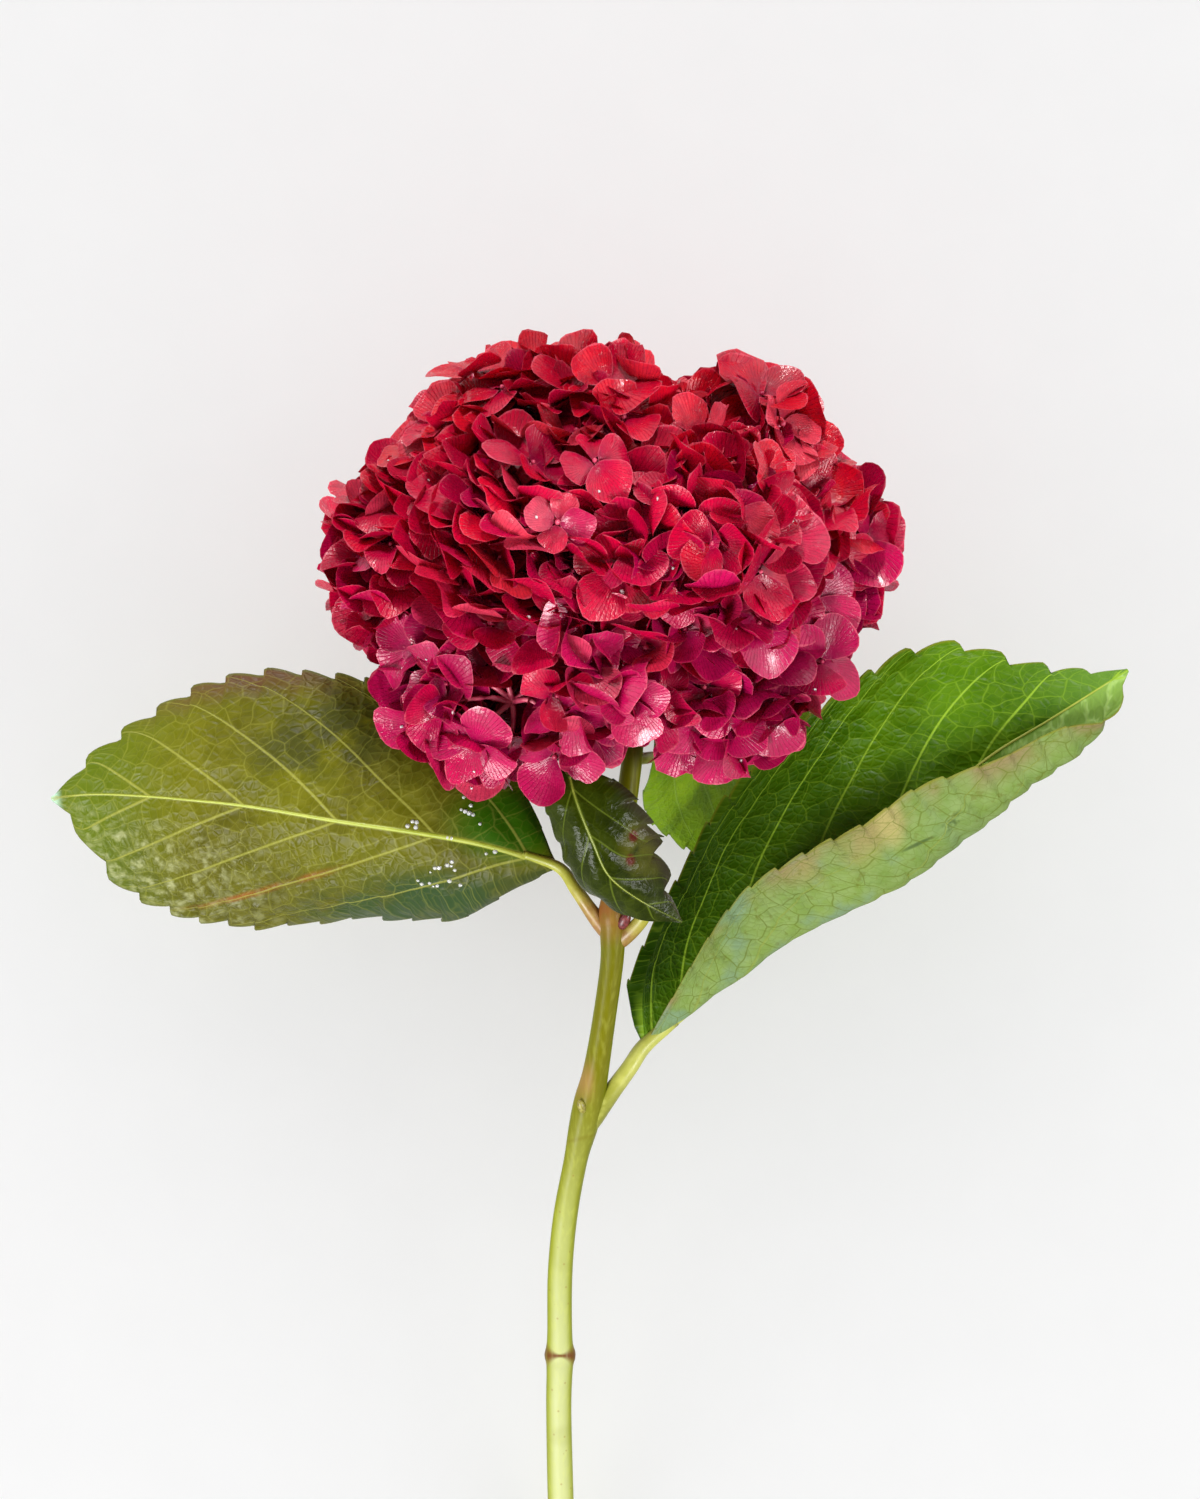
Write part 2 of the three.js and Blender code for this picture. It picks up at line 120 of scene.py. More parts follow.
def make_piece(name, points, quads, material):
    """A smooth mesh from points in millimetres, one row each, and quads of point numbers."""
    quads = np.asarray(quads, dtype=np.int32)
    mesh = bpy.data.meshes.new(name)
    mesh.vertices.add(len(points))
    mesh.vertices.foreach_set("co", (np.asarray(points) * MM).astype(np.float32).ravel())
    mesh.loops.add(quads.size)
    mesh.loops.foreach_set("vertex_index", quads.ravel())
    mesh.polygons.add(len(quads))
    mesh.polygons.foreach_set("loop_start", np.arange(0, quads.size, 4, dtype=np.int32))
    mesh.update(calc_edges=True)
    mesh.shade_smooth()
    mesh.materials.append(material)
    made = bpy.data.objects.new(name, mesh)
    holder = surface if name == "table" else flower
    holder.objects.link(made)
    return made


table_material, tree, shader, _ = new_material("pale_table")
grain = noise(tree, node(tree, "TexCoord").outputs["Object"], 40.0)
shader.inputs["Roughness"].default_value = 0.9
tree.links.new(blend(tree, grain, colour(243, 243, 243), colour(246, 246, 246)), shader.inputs["Base Color"])
table_corners = np.array([[-1, -1, 0], [1, -1, 0], [1, 1, 0], [-1, 1, 0]]) * TABLE_SIZE / 2 / MM
table = make_piece("table", table_corners, [[0, 1, 2, 3]], table_material)
table.location.z = -TABLE_CLEARANCE


def soft_light(name, place, aim, size, watts, tint):
    """A square area light of that size in metres, facing aim."""
    lamp = bpy.data.lights.new(name, "AREA")
    lamp.size = size
    lamp.energy = watts
    lamp.color = tint
    made = bpy.data.objects.new(name, lamp)
    made.location = place
    made.rotation_euler = (Vector(aim) - Vector(place)).to_track_quat("-Z", "Y").to_euler()
    scene.collection.objects.link(made)
    return made


window = soft_light("window", (-0.15, 1.25, 1.15), (0, 0, 0.08), 0.2, 22.0, (1.0, 0.99, 0.97))
fill_left = soft_light("fill_left", (-0.9, -1.1, 1.2), (0, -0.05, 0.05), 0.7, 44.0, WHITE)
fill_right = soft_light("fill_right", (1.2, -0.4, 1.3), (0, -0.05, 0.05), 0.6, 26.0, WHITE)
for lamp in (window, fill_left, fill_right):
    lamp.light_linking.receiver_collection = flower
ceiling = soft_light("ceiling", (0, -1.0, 3.4), (0, -1.0, 0), 2.6, 66.0, WHITE)
ceiling.light_linking.receiver_collection = surface
ceiling.light_linking.blocker_collection = surface
world = bpy.data.worlds.new("room")
world.use_nodes = True
tree = world.node_tree
room_way = node(tree, "SeparateXYZ", {0: node(tree, "TexCoord").outputs["Generated"]}).outputs
walls = rise(tree, room_way[2], 0.35, 0.85, ROOM_WALLS, ROOM_CEILING)
walls = times(tree, walls, calc(tree, "MULTIPLY_ADD", room_way[1], 0.3, 1.0))
tree.links.new(walls, tree.nodes["Background"].inputs[1])
tree.nodes["Background"].inputs[0].default_value = (*WHITE, 1.0)
scene.world = world
scene.view_settings.view_transform = "Standard"

camera = bpy.data.objects.new("camera", bpy.data.cameras.new("camera"))
camera.location = CAMERA_PLACE
camera.data.lens = CAMERA_LENS
camera.data.sensor_width = 36.0
camera.data.clip_end = 20.0
scene.collection.objects.link(camera)
scene.camera = camera

# Stem
# One green shoot, paler towards its cut end, bent where it grew round its neighbours. It swells
# at the three nodes where leaves stand or stood, and the oldest node keeps brown leaf scars.
# Each row of its path is a place in millimetres and the radius there.
STEM_PATH = np.array([
    [6.6, -43, 78, 3.1], [6.2, -55, 77.5, 3.1], [4.6, -68, 77, 3.2], [2, -87, 75.5, 3.4],
    [0.6, -98, 74, 3.7], [0.2, -104, 73, 4.5], [0.2, -109, 72.2, 3.9], [-0.1, -118.5, 70.5, 3.5],
    [-2.5, -136, 66.3, 3.5], [-4.9, -151, 62, 3.9], [-7, -160.5, 59, 4.6], [-8.8, -168.5, 56.4, 4.4],
    [-11.1, -178.8, 52.8, 3.6], [-14.2, -196, 46.5, 3.7], [-15.8, -214, 39.8, 3.8],
    [-15.9, -234, 32.4, 3.9], [-15.8, -239.5, 30.4, 4.8], [-15.9, -243.5, 29, 4.1],
    [-16.2, -256, 24.5, 3.9], [-15.8, -278, 16.8, 4], [-15.2, -300, 9.6, 4], [-14.7, -319, 4.6, 4],
])
STEM_SIDES = 28
STEM_RINGS = 260
STEM_CUT_SLOPE = 0.9
CUT_FACE_RINGS = np.array([0.97, 0.7, 0.5, 0.3, 0.1])
RIDGE_HEIGHT = 0.35
FINE_STEPS = 900
TABLE_GAP = 0.05


def smooth_line(rows, shares):
    """The smooth curve through evenly spaced rows, at shares from 0 to 1: in each span
    0.5 (2b + (c - a) t + (2a - 5b + 4c - d) t^2 + (3b - a - 3c + d) t^3), with a and d the rows
    on either side of the span from b to c."""
    rows = np.asarray(rows, dtype=float)
    place = np.asarray(shares, dtype=float) * (len(rows) - 1)
    index = np.clip(place.astype(int), 0, len(rows) - 2)
    t = (place - index).reshape(-1, *[1] * (rows.ndim - 1))
    b, c = rows[index], rows[index + 1]
    a = rows[np.maximum(index - 1, 0)]
    d = rows[np.minimum(index + 2, len(rows) - 1)]
    return 0.5 * (2 * b + (c - a) * t + (2 * a - 5 * b + 4 * c - d) * t**2 + (3 * b - a - 3 * c + d) * t**3)


def even_line(rows, count):
    """count points at equal steps of length along the smooth curve, and the way it runs at each."""
    fine = smooth_line(rows, np.linspace(0, 1, FINE_STEPS))
    gone = np.concatenate([[0], np.cumsum(np.linalg.norm(np.diff(fine[:, :3], axis=0), axis=1))])
    wanted = np.linspace(0, gone[-1], count)
    placed = np.stack([np.interp(wanted, gone, fine[:, axis]) for axis in range(fine.shape[1])], 1)
    return placed, unit(np.gradient(placed[:, :3], axis=0))


def unit(arrows):
    """Arrows scaled to length 1."""
    return arrows / np.maximum(np.linalg.norm(arrows, axis=-1, keepdims=True), 1e-12)


def tube_quads(rings, sides):
    """Quads of a closed tube of rings with an even number of sides, its flat ends as strips of quads."""
    ring, side = np.meshgrid(np.arange(rings - 1), np.arange(sides), indexing="ij")
    a = ring * sides + side
    b = ring * sides + (side + 1) % sides
    walls = np.stack([a, b, b + sides, a + sides], -1).reshape(-1, 4)
    k = np.arange(sides // 2 - 1)
    start = np.stack([k, sides - 1 - k, sides - 2 - k, k + 1], -1)
    end = start[:, ::-1] + (rings - 1) * sides
    return np.concatenate([walls, start, end])


def tube_points(centres, ways, radii, sides):
    """Rings of points round a path: centre + radius (cos angle across + sin angle upward)."""
    across = unit(np.array([1.0, 0, 0]) - ways * ways[..., :1])
    upward = np.cross(across, ways)
    angle = (np.arange(sides) + 0.5) / sides * 2 * np.pi
    radii = np.asarray(radii)
    radii = radii[..., None] if radii.ndim == ways.ndim - 1 else radii
    rounds = np.cos(angle)[:, None] * across[..., None, :] + np.sin(angle)[:, None] * upward[..., None, :]
    return centres[..., None, :] + radii[..., None] * rounds


def crisp_rim(piece, on_rim):
    """Keeps the two faces of a thin shell from shading into each other over their shared rim."""
    ends = np.zeros(len(piece.data.edges) * 2, dtype=np.int32)
    piece.data.edges.foreach_get("vertices", ends)
    held = piece.data.attributes.new("sharp_edge", "BOOLEAN", "EDGE")
    held.data.foreach_set("value", on_rim[ends].reshape(-1, 2).all(1))


def mark(piece, name, values):
    """A number at each point of a piece, for its material to read."""
    held = piece.data.attributes.new(name, "FLOAT", "POINT")
    held.data.foreach_set("value", np.asarray(values, dtype=np.float32).ravel())


def marked(tree, name):
    """The number that mark left at each point."""
    return node(tree, "Attribute", attribute_name=name).outputs["Fac"]


def emboss(tree, shader, height, strength, distance):
    """Bends the light on a surface as if it were raised by height, distance metres for 1."""
    bump = node(tree, "Bump", {"Height": height, "Strength": strength, "Distance": distance})
    tree.links.new(bump.outputs[0], shader.inputs["Normal"])
    return bump.outputs[0]


def near(tree, value, middle, reach):
    """1 at middle, falling to 0 at reach on either side of it."""
    return rise(tree, calc(tree, "ABSOLUTE", calc(tree, "SUBTRACT", value, middle)), 0.0, reach, 1.0, 0.0)


# Three broad ridges and seven fine ones wind slowly round the stem, and the last ring is slanted.
stem_line, stem_way = even_line(STEM_PATH, STEM_RINGS)
angle = (np.arange(STEM_SIDES) + 0.5) / STEM_SIDES * 2 * np.pi
along_stem = np.linspace(0, 1, STEM_RINGS)[:, None]
ridges = 0.05 * np.sin(3 * angle + 5 * along_stem) + 0.035 * np.sin(7 * angle - 9 * along_stem)
stem_radii = stem_line[:, 3:] * (1 + RIDGE_HEIGHT * ridges)
stem_points = tube_points(stem_line[:, :3], stem_way, stem_radii, STEM_SIDES)
stem_points[-1] += STEM_CUT_SLOPE * (np.sin(angle) * stem_line[-1, 3])[:, None] * stem_way[-1]
stem_points[..., 2] = np.maximum(stem_points[..., 2], TABLE_GAP)
ring_topside = (stem_points[..., 2] - stem_line[:, None, 2]) / stem_radii
cut_middle = stem_points[-1].mean(0)
cut_face = cut_middle + CUT_FACE_RINGS[:, None, None] * (stem_points[-1] - cut_middle)
stem_points = np.concatenate([stem_points, cut_face])
stem_rings = len(stem_points)
ring_heart = np.concatenate([np.zeros(STEM_RINGS), 1 - CUT_FACE_RINGS])

# Down is the distance down the picture in millimetres. The skin pales, with a painted highlight along
# its top and painted shade down its flanks, a red blush at the upper node, scars at the lowest, brown
# flecks, and pale pith in the cut.
stem_material, tree, shader, _ = new_material("stem_skin")
place = node(tree, "TexCoord").outputs["Object"]
split = node(tree, "SeparateXYZ", {0: place}).outputs
down = times(tree, split[1], -1000.0)
stretched = node(tree, "Mapping", {"Vector": place, "Scale": (900, 60, 900)}).outputs[0]
streaks = noise(tree, stretched, 1.0, 4.0)
patches = noise(tree, place, 70.0)
skin = blend(tree, rise(tree, down, 60.0, 130.0), colour(84, 82, 0), colour(90, 88, 0))
skin = blend(tree, rise(tree, down, 150.0, 215.0), skin, colour(124, 130, 14))
skin = blend(tree, rise(tree, down, 225.0, 300.0), skin, colour(140, 147, 60))
topside = marked(tree, "topside")
# A pale band along the top of the lower stem: a painted highlight.
painted_top_highlight = times(tree, rise(tree, topside, 0.45, 1.0), rise(tree, down, 150.0, 250.0, 0.0, 0.8))
skin = blend(tree, painted_top_highlight, skin, colour(160, 164, 120))
# Darker green down the flanks and underside: painted shade.
skin = blend(tree, rise(tree, topside, 0.0, 0.8, 0.75, 0.0), skin, colour(94, 102, 2))
skin = blend(tree, rise(tree, streaks, 0.45, 0.75, 0.0, 0.12), skin, colour(182, 186, 80))
skin = blend(tree, rise(tree, patches, 0.5, 0.75, 0.0, 0.2), skin, colour(104, 107, 5))
blush = times(tree, near(tree, down, 104.0, 11.0), rise(tree, patches, 0.3, 0.6, 0.35, 0.8))
skin = blend(tree, blush, skin, colour(136, 72, 44))
pinkish = times(tree, near(tree, down, 154.0, 9.0), rise(tree, split[0], -0.0075, -0.004, 0.55, 0.0))
skin = blend(tree, pinkish, skin, colour(142, 104, 64))
node_foot = calc(tree, "MULTIPLY_ADD", split[0], 250.0, down)
skin = blend(tree, times(tree, near(tree, node_foot, 169.5, 1.1), 0.4), skin, colour(92, 84, 4))
scar_side = times(tree, calc(tree, "ADD", split[0], 0.0158), 250.0)
scar_reach = calc(tree, "MULTIPLY_ADD", times(tree, scar_side, scar_side), 4.5, 0.9)
ring = times(tree, near(tree, down, 239.5, scar_reach), rise(tree, streaks, 0.2, 0.6, 0.6, 1.0))
skin = blend(tree, ring, skin, colour(88, 50, 14))
fleck = node(tree, "TexVoronoi", {"Vector": place, "Scale": 330.0}, distance="EUCLIDEAN").outputs[0]
skin = blend(tree, rise(tree, fleck, 0.06, 0.16, 0.45, 0.0), skin, colour(118, 84, 38))
heart = marked(tree, "heart")
skin = blend(tree, rise(tree, heart, 0.005, 0.03), skin, colour(168, 182, 96))
skin = blend(tree, rise(tree, heart, 0.3, 0.55), skin, colour(216, 220, 184))
tree.links.new(skin, shader.inputs["Base Color"])
tree.links.new(rise(tree, streaks, 0.3, 0.8, 0.34, 0.55), shader.inputs["Roughness"])
shader.inputs["Specular IOR Level"].default_value = 0.12
emboss(tree, shader, streaks, 0.25, 0.0003)

stem = make_piece("stem_shoot", stem_points.reshape(-1, 3), tube_quads(stem_rings, STEM_SIDES), stem_material)
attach(stem, "root")
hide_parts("stem")
mark(stem, "topside", np.concatenate([ring_topside, np.repeat(ring_topside[-1:], len(CUT_FACE_RINGS), 0)]))
mark(stem, "heart", np.repeat(ring_heart, STEM_SIDES))
crisp_rim(stem, np.repeat(np.arange(stem_rings) == STEM_RINGS - 1, STEM_SIDES))

# Leaves
# Saw-toothed blades with a raised network of veins, each on a short petiole. The upper face is
# green and half glossy, the underside pale. Each half is bent or rolled across the midrib.
BLADE_THICKNESS = 0.45
ROWS_PER_TOOTH = 8
CELLS_ACROSS_HALF = 26
LEAST_WIDTH = 0.4
BASE_ROUNDS_OVER = 0.035
TOOTH_SWEEP = 1.1
SLOW_RIPPLES = 3.1
QUICK_RIPPLES = 7.3
BLADE_GAP = 0.4
MIDRIB_GROOVE = 0.21
RIB_BELOW = 0.55
RIB_THINNING = 0.85
JOIN_BLUR = 9
VEIN_TURN = 0.06
RIB_RINGS = 60
PETIOLE_RINGS = 50
PETIOLE_SIDES = 14


def tooth_shape(phase):
    """Saw tooth from 0 to 1 and back: a slow rounded rise, and a quick fall after its tip at 0.8."""
    rising = np.sin(0.5 * np.pi * np.clip(phase / 0.8, 0, 1)) ** 0.9
    falling = 1 - np.clip((phase - 0.8) / 0.2, 0, 1) ** 1.2
    return np.where(phase < 0.8, rising, falling)


def leaf_length(leaf):
    """The length of the midrib in millimetres."""
    return float(np.linalg.norm(np.diff(even_line(leaf["midrib"], 200)[0], axis=0), axis=1).sum())


def vein_phase(leaf, slant, share, across, reach):
    """Whole numbers fall on the side veins. A vein at share s and reach r from the midrib began at
    u = s - (lean + later s) r / length - VEIN_TURN across^8, and its number is pairs u^crowding
    + start, so that it slants towards the tip and turns along the edge."""
    began = share - (slant[0] + slant[1] * share) * reach / leaf_length(leaf) - VEIN_TURN * across**8
    return leaf["vein_pairs"] * np.maximum(began, 0.0005) ** leaf["vein_crowding"] + leaf["vein_start"]


def midrib_frame(leaf, count):
    """Points along the midrib, the way it runs, and the blade's side and upper face there."""
    middle, way = even_line(leaf["midrib"], count)
    side = unit(np.cross(unit(np.array(leaf["facing"], dtype=float)), way))
    return middle, way, side, np.cross(way, side)


def leaf_grid(leaf):
    """The middle surface of a blade. From the midrib each half goes out in small cells, and cell
    j adds width / cells (cos bend side + sin bend normal), with bend read from the leaf's table.
    Between the side veins the blade swells by the sine of the vein phase. Each row is longer and
    swept forward by its share of a saw tooth, and two sines make the edge rise and fall."""
    count = leaf["teeth"] * ROWS_PER_TOOTH + 1
    share = np.linspace(0, 1, count)
    middle, way, side, normal = midrib_frame(leaf, count)
    cells = (np.arange(CELLS_ACROSS_HALF) + 0.5) / CELLS_ACROSS_HALF
    halves = []
    for half in leaf["halves"]:
        bends = smooth_line(half["bends"], share)
        bend = np.radians(smooth_line(bends.T, cells).T)
        width = smooth_line(half["widths"], share) * np.sqrt(np.clip(share / BASE_ROUNDS_OVER, 0.01, 1))
        depth = leaf["tooth_depth"] * half.get("tooth_share", 1.0) * np.clip(width / 12, 0, 1)
        saw = tooth_shape((share * leaf["teeth"] + half["tooth_start"]) % 1)
        width = np.maximum(width + depth * (saw - 0.6), LEAST_WIDTH)
        step = (width / CELLS_ACROSS_HALF)[:, None, None]
        cosine = np.cos(bend)[..., None]
        sine = np.sin(bend)[..., None]
        turned = half["side"] * cosine * side[:, None] + sine * normal[:, None]
        face = cosine * normal[:, None] - half["side"] * sine * side[:, None]
        points = middle[:, None] + np.cumsum(step * turned, axis=1)
        across = np.broadcast_to((np.arange(CELLS_ACROSS_HALF) + 1) / CELLS_ACROSS_HALF, bend.shape)
        along = np.broadcast_to(share[:, None], bend.shape)
        reach = width[:, None] * across
        forward = TOOTH_SWEEP * (depth * (saw - 0.3))[:, None] * across**6
        points = points + forward[..., None] * way[:, None]
        swell = np.abs(np.sin(np.pi * vein_phase(leaf, half["slant"], along, across, reach)))
        taper = np.clip(width / 14, 0, 1)[:, None] * np.clip((1 - along) / 0.3, 0, 1)
        lift = leaf["swell"] * taper * (swell * (1 - 0.5 * across) - 0.4) * np.clip(across * 6, 0, 1)
        slow = np.sin(2 * np.pi * (along * SLOW_RIPPLES + half["ripple_start"]))
        quick = np.sin(2 * np.pi * (along * QUICK_RIPPLES))
        ripple = leaf["ripple"] * taper * across**2 * (slow + 0.5 * quick)
        points = points + (lift + ripple)[..., None] * face
        if half["side"] < 0:
            halves.append((points, face, across * -1, reach * -1))
        else:
            halves.insert(0, (points[:, ::-1], face[:, ::-1], across[:, ::-1], reach[:, ::-1]))
    zero = np.zeros((count, 1))
    midrib = ((middle - MIDRIB_GROOVE * normal)[:, None], normal[:, None], zero, zero)
    points, faces, across, reach = (np.concatenate(parts, 1) for parts in zip(halves[0], midrib, halves[1]))
    points[..., 2] = np.maximum(points[..., 2], BLADE_GAP)
    return points, faces, across, reach, np.broadcast_to(share[:, None], across.shape)


def shell_quads(rows, columns):
    """Quads of a closed shell: an upper grid, a lower grid after it, and the rim between them."""
    row, column = np.meshgrid(np.arange(rows - 1), np.arange(columns - 1), indexing="ij")
    a = (row * columns + column).ravel()
    upper = np.stack([a, a + 1, a + columns + 1, a + columns], -1)
    below = rows * columns
    lower = upper[:, ::-1] + below
    rim = np.concatenate([
        np.arange(columns),
        np.arange(1, rows) * columns + columns - 1,
        (rows - 1) * columns + np.arange(columns - 2, -1, -1),
        np.arange(rows - 2, 0, -1) * columns,
    ])
    following = np.roll(rim, -1)
    wall = np.stack([rim, rim + below, following + below, following], -1)
    return np.concatenate([upper, lower, wall])


def lay_uv(piece, pairs):
    """The piece's own pattern coordinates, two for each point."""
    corner = np.zeros(len(piece.data.loops), dtype=np.int32)
    piece.data.loops.foreach_get("vertex_index", corner)
    layer = piece.data.uv_layers.new(name="pattern")
    layer.data.foreach_set("uv", np.asarray(pairs, dtype=np.float32)[corner].ravel())


def make_leaf(leaf, material, petiole_material):
    """The blade of a leaf as a closed thin shell, and its petiole with the midrib it runs into."""
    points, faces, across, reach, share = leaf_grid(leaf)
    rows, columns = across.shape
    half = 0.5 * BLADE_THICKNESS
    shell = np.concatenate([(points + half * faces).reshape(-1, 3), (points - half * faces).reshape(-1, 3)])
    shell[:, 2] = np.maximum(shell[:, 2], TABLE_GAP)
    blade = make_piece(leaf["name"] + "_blade", shell, shell_quads(rows, columns)[:, ::-1], material)
    mark(blade, "across", np.tile(across.ravel(), 2))
    mark(blade, "share", np.tile(share.ravel(), 2))
    mark(blade, "under", np.repeat([0.0, 1.0], rows * columns))
    edge = np.ones((rows, columns), dtype=bool)
    edge[1:-1, 1:-1] = False
    crisp_rim(blade, np.tile(edge.ravel(), 2))
    lay_uv(blade, np.tile(np.stack([share.ravel() * leaf_length(leaf), reach.ravel()], -1) * MM, (2, 1)))
    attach(blade, "root")
    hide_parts(leaf["name"])
    rib, _, _, normal = midrib_frame(leaf, RIB_RINGS)
    rib_radii = leaf["rib"] * (1 - np.linspace(0, 1, RIB_RINGS) ** 0.7 * RIB_THINNING)
    rib = rib - RIB_BELOW * rib_radii[:, None] * normal
    stalk, _ = even_line(leaf["petiole"], PETIOLE_RINGS)
    line = np.concatenate([stalk[:, :3], rib[3:-2]])
    radii = np.concatenate([stalk[:, 3], rib_radii[3:-2]])
    blur = np.ones(JOIN_BLUR) / JOIN_BLUR
    radii = np.convolve(np.pad(radii, JOIN_BLUR // 2, mode="edge"), blur, mode="valid")
    tube = tube_points(line, unit(np.gradient(line, axis=0)), radii, PETIOLE_SIDES)
    quads = tube_quads(len(line), PETIOLE_SIDES)
    petiole = make_piece(leaf["name"] + "_petiole", tube.reshape(-1, 3), quads, petiole_material)
    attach(petiole, "root")
    return points, faces


def vein_pattern():
    """Shader group of a leaf's veins, by the same rule as vein_phase. Distance along and out from
    the midrib, in metres, come from the piece's pattern coordinates. It gives masks of the main
    veins and of the fine net between them, their height, and the number of the nearest vein."""
    group = bpy.data.node_groups.new("vein_pattern", "ShaderNodeTree")
    face = group.interface
    face.new_socket("Pattern", in_out="INPUT", socket_type="NodeSocketVector")
    starts = {"Share": 0.0, "Across": 0.0, "Lean": 1.0, "Later": 0.0, "Length": 0.16, "Pairs": 7.0,
              "Crowding": 1.0, "Start": 0.0, "Width": 0.0005, "Net Size": 0.006}
    for name, value in starts.items():
        face.new_socket(name, in_out="INPUT", socket_type="NodeSocketFloat").default_value = value
    for name in ("Main", "Net", "Height", "Phase"):
        face.new_socket(name, in_out="OUTPUT", socket_type="NodeSocketFloat")
    given = group.nodes.new("NodeGroupInput").outputs
    out_node = group.nodes.new("NodeGroupOutput")
    out = calc(group, "ABSOLUTE", given["Across"])
    laid = node(group, "SeparateXYZ", {0: given["Pattern"]}).outputs
    reach = calc(group, "ABSOLUTE", laid[1])
    part = calc(group, "DIVIDE", reach, given["Length"])
    slant = calc(group, "MULTIPLY_ADD", given["Later"], given["Share"], given["Lean"])
    gone = calc(group, "MULTIPLY_ADD", calc(group, "POWER", out, 8.0), VEIN_TURN, times(group, slant, part))
    wobble = calc(group, "MULTIPLY_ADD", noise(group, given["Pattern"], 38.0, 0.0), 0.012, -0.006)
    began = calc(group, "ADD", calc(group, "SUBTRACT", given["Share"], gone), wobble)
    began = calc(group, "MAXIMUM", began, 0.0005)
    numbered = times(group, given["Pairs"], calc(group, "POWER", began, given["Crowding"]))
    phase = calc(group, "ADD", numbered, given["Start"])
    # A point is as far from the nearest side vein as its phase is from a whole number, divided by
    # how steeply the phase changes there. The veins thin out towards the edge.
    level = calc(group, "MULTIPLY_ADD", times(group, given["Later"], part), -1.0, 1.0)
    grade = calc(group, "SQRT", calc(group, "ADD", times(group, level, level), times(group, slant, slant)))
    steepness = calc(group, "DIVIDE", times(group, numbered, given["Crowding"]), began)
    steepness = times(group, steepness, grade)
    off = times(group, calc(group, "PINGPONG", phase, 0.5), given["Length"])
    side_distance = calc(group, "DIVIDE", off, steepness)
    thick = times(group, given["Width"], rise(group, out, 0.2, 1.0, 1.0, 0.4))
    side_vein = rise(group, calc(group, "DIVIDE", side_distance, thick), 0.3, 1.7, 1.0, 0.0)
    midrib_width = times(group, given["Width"], rise(group, given["Share"], 0.0, 1.0, 2.6, 1.0))
    midrib = rise(group, calc(group, "DIVIDE", reach, midrib_width), 0.4, 1.3, 1.0, 0.0)
    main = calc(group, "MAXIMUM", side_vein, midrib)
    # The fine net is an uneven net of cells laid across the phase and along the side veins, its
    # lines pale, with each cell swelling like a pillow between them.
    ladder = calc(group, "DIVIDE", calc(group, "MULTIPLY_ADD", slant, laid[0], reach), grade)
    ladder = calc(group, "DIVIDE", ladder, given["Net Size"])
    warped = node(group, "CombineXYZ", {0: times(group, phase, 1.7), 1: ladder}).outputs[0]
    sway = node(group, "TexNoise", {"Vector": given["Pattern"], "Scale": 220.0, "Detail": 0.0}).outputs[1]
    shift = {0: sway, 1: (0.2, 0.2, 0.0), 2: warped}
    swayed = node(group, "VectorMath", shift, operation="MULTIPLY_ADD").outputs[0]

    def from_cell_edge(scale, randomness):
        """Distance to the nearest side of an uneven net, scale meshes to one net size."""
        meshes = {"Vector": swayed, "Scale": scale, "Randomness": randomness}
        kind = {"voronoi_dimensions": "2D", "feature": "DISTANCE_TO_EDGE"}
        return node(group, "TexVoronoi", meshes, **kind).outputs[0]

    cells = from_cell_edge(1.0, 0.8)
    fine = from_cell_edge(3.1, 0.9)
    net_line = rise(group, cells, 0.0, 0.045, 1.0, 0.0)
    net = calc(group, "MAXIMUM", net_line, rise(group, fine, 0.0, 0.09, 0.4, 0.0))
    pillow = calc(group, "ADD", rise(group, cells, 0.0, 0.35), times(group, rise(group, fine, 0.0, 0.3), 0.4))
    height = calc(group, "MULTIPLY_ADD", main, -0.6, pillow)
    for name, value in (("Main", main), ("Net", net), ("Height", height), ("Phase", phase)):
        group.links.new(value, out_node.inputs[name])
    return group


VEINS = vein_pattern()


def let_light_through(tree, shader, out, tint, normal, share):
    """Mixes in a share of the light that comes through a thin blade from behind, in that tint."""
    through = node(tree, "BsdfTranslucent", {"Color": tint, "Normal": normal})
    mixed = node(tree, "MixShader", {0: share, 1: shader.outputs[0], 2: through.outputs[0]})
    tree.links.new(mixed.outputs[0], out.inputs[0])


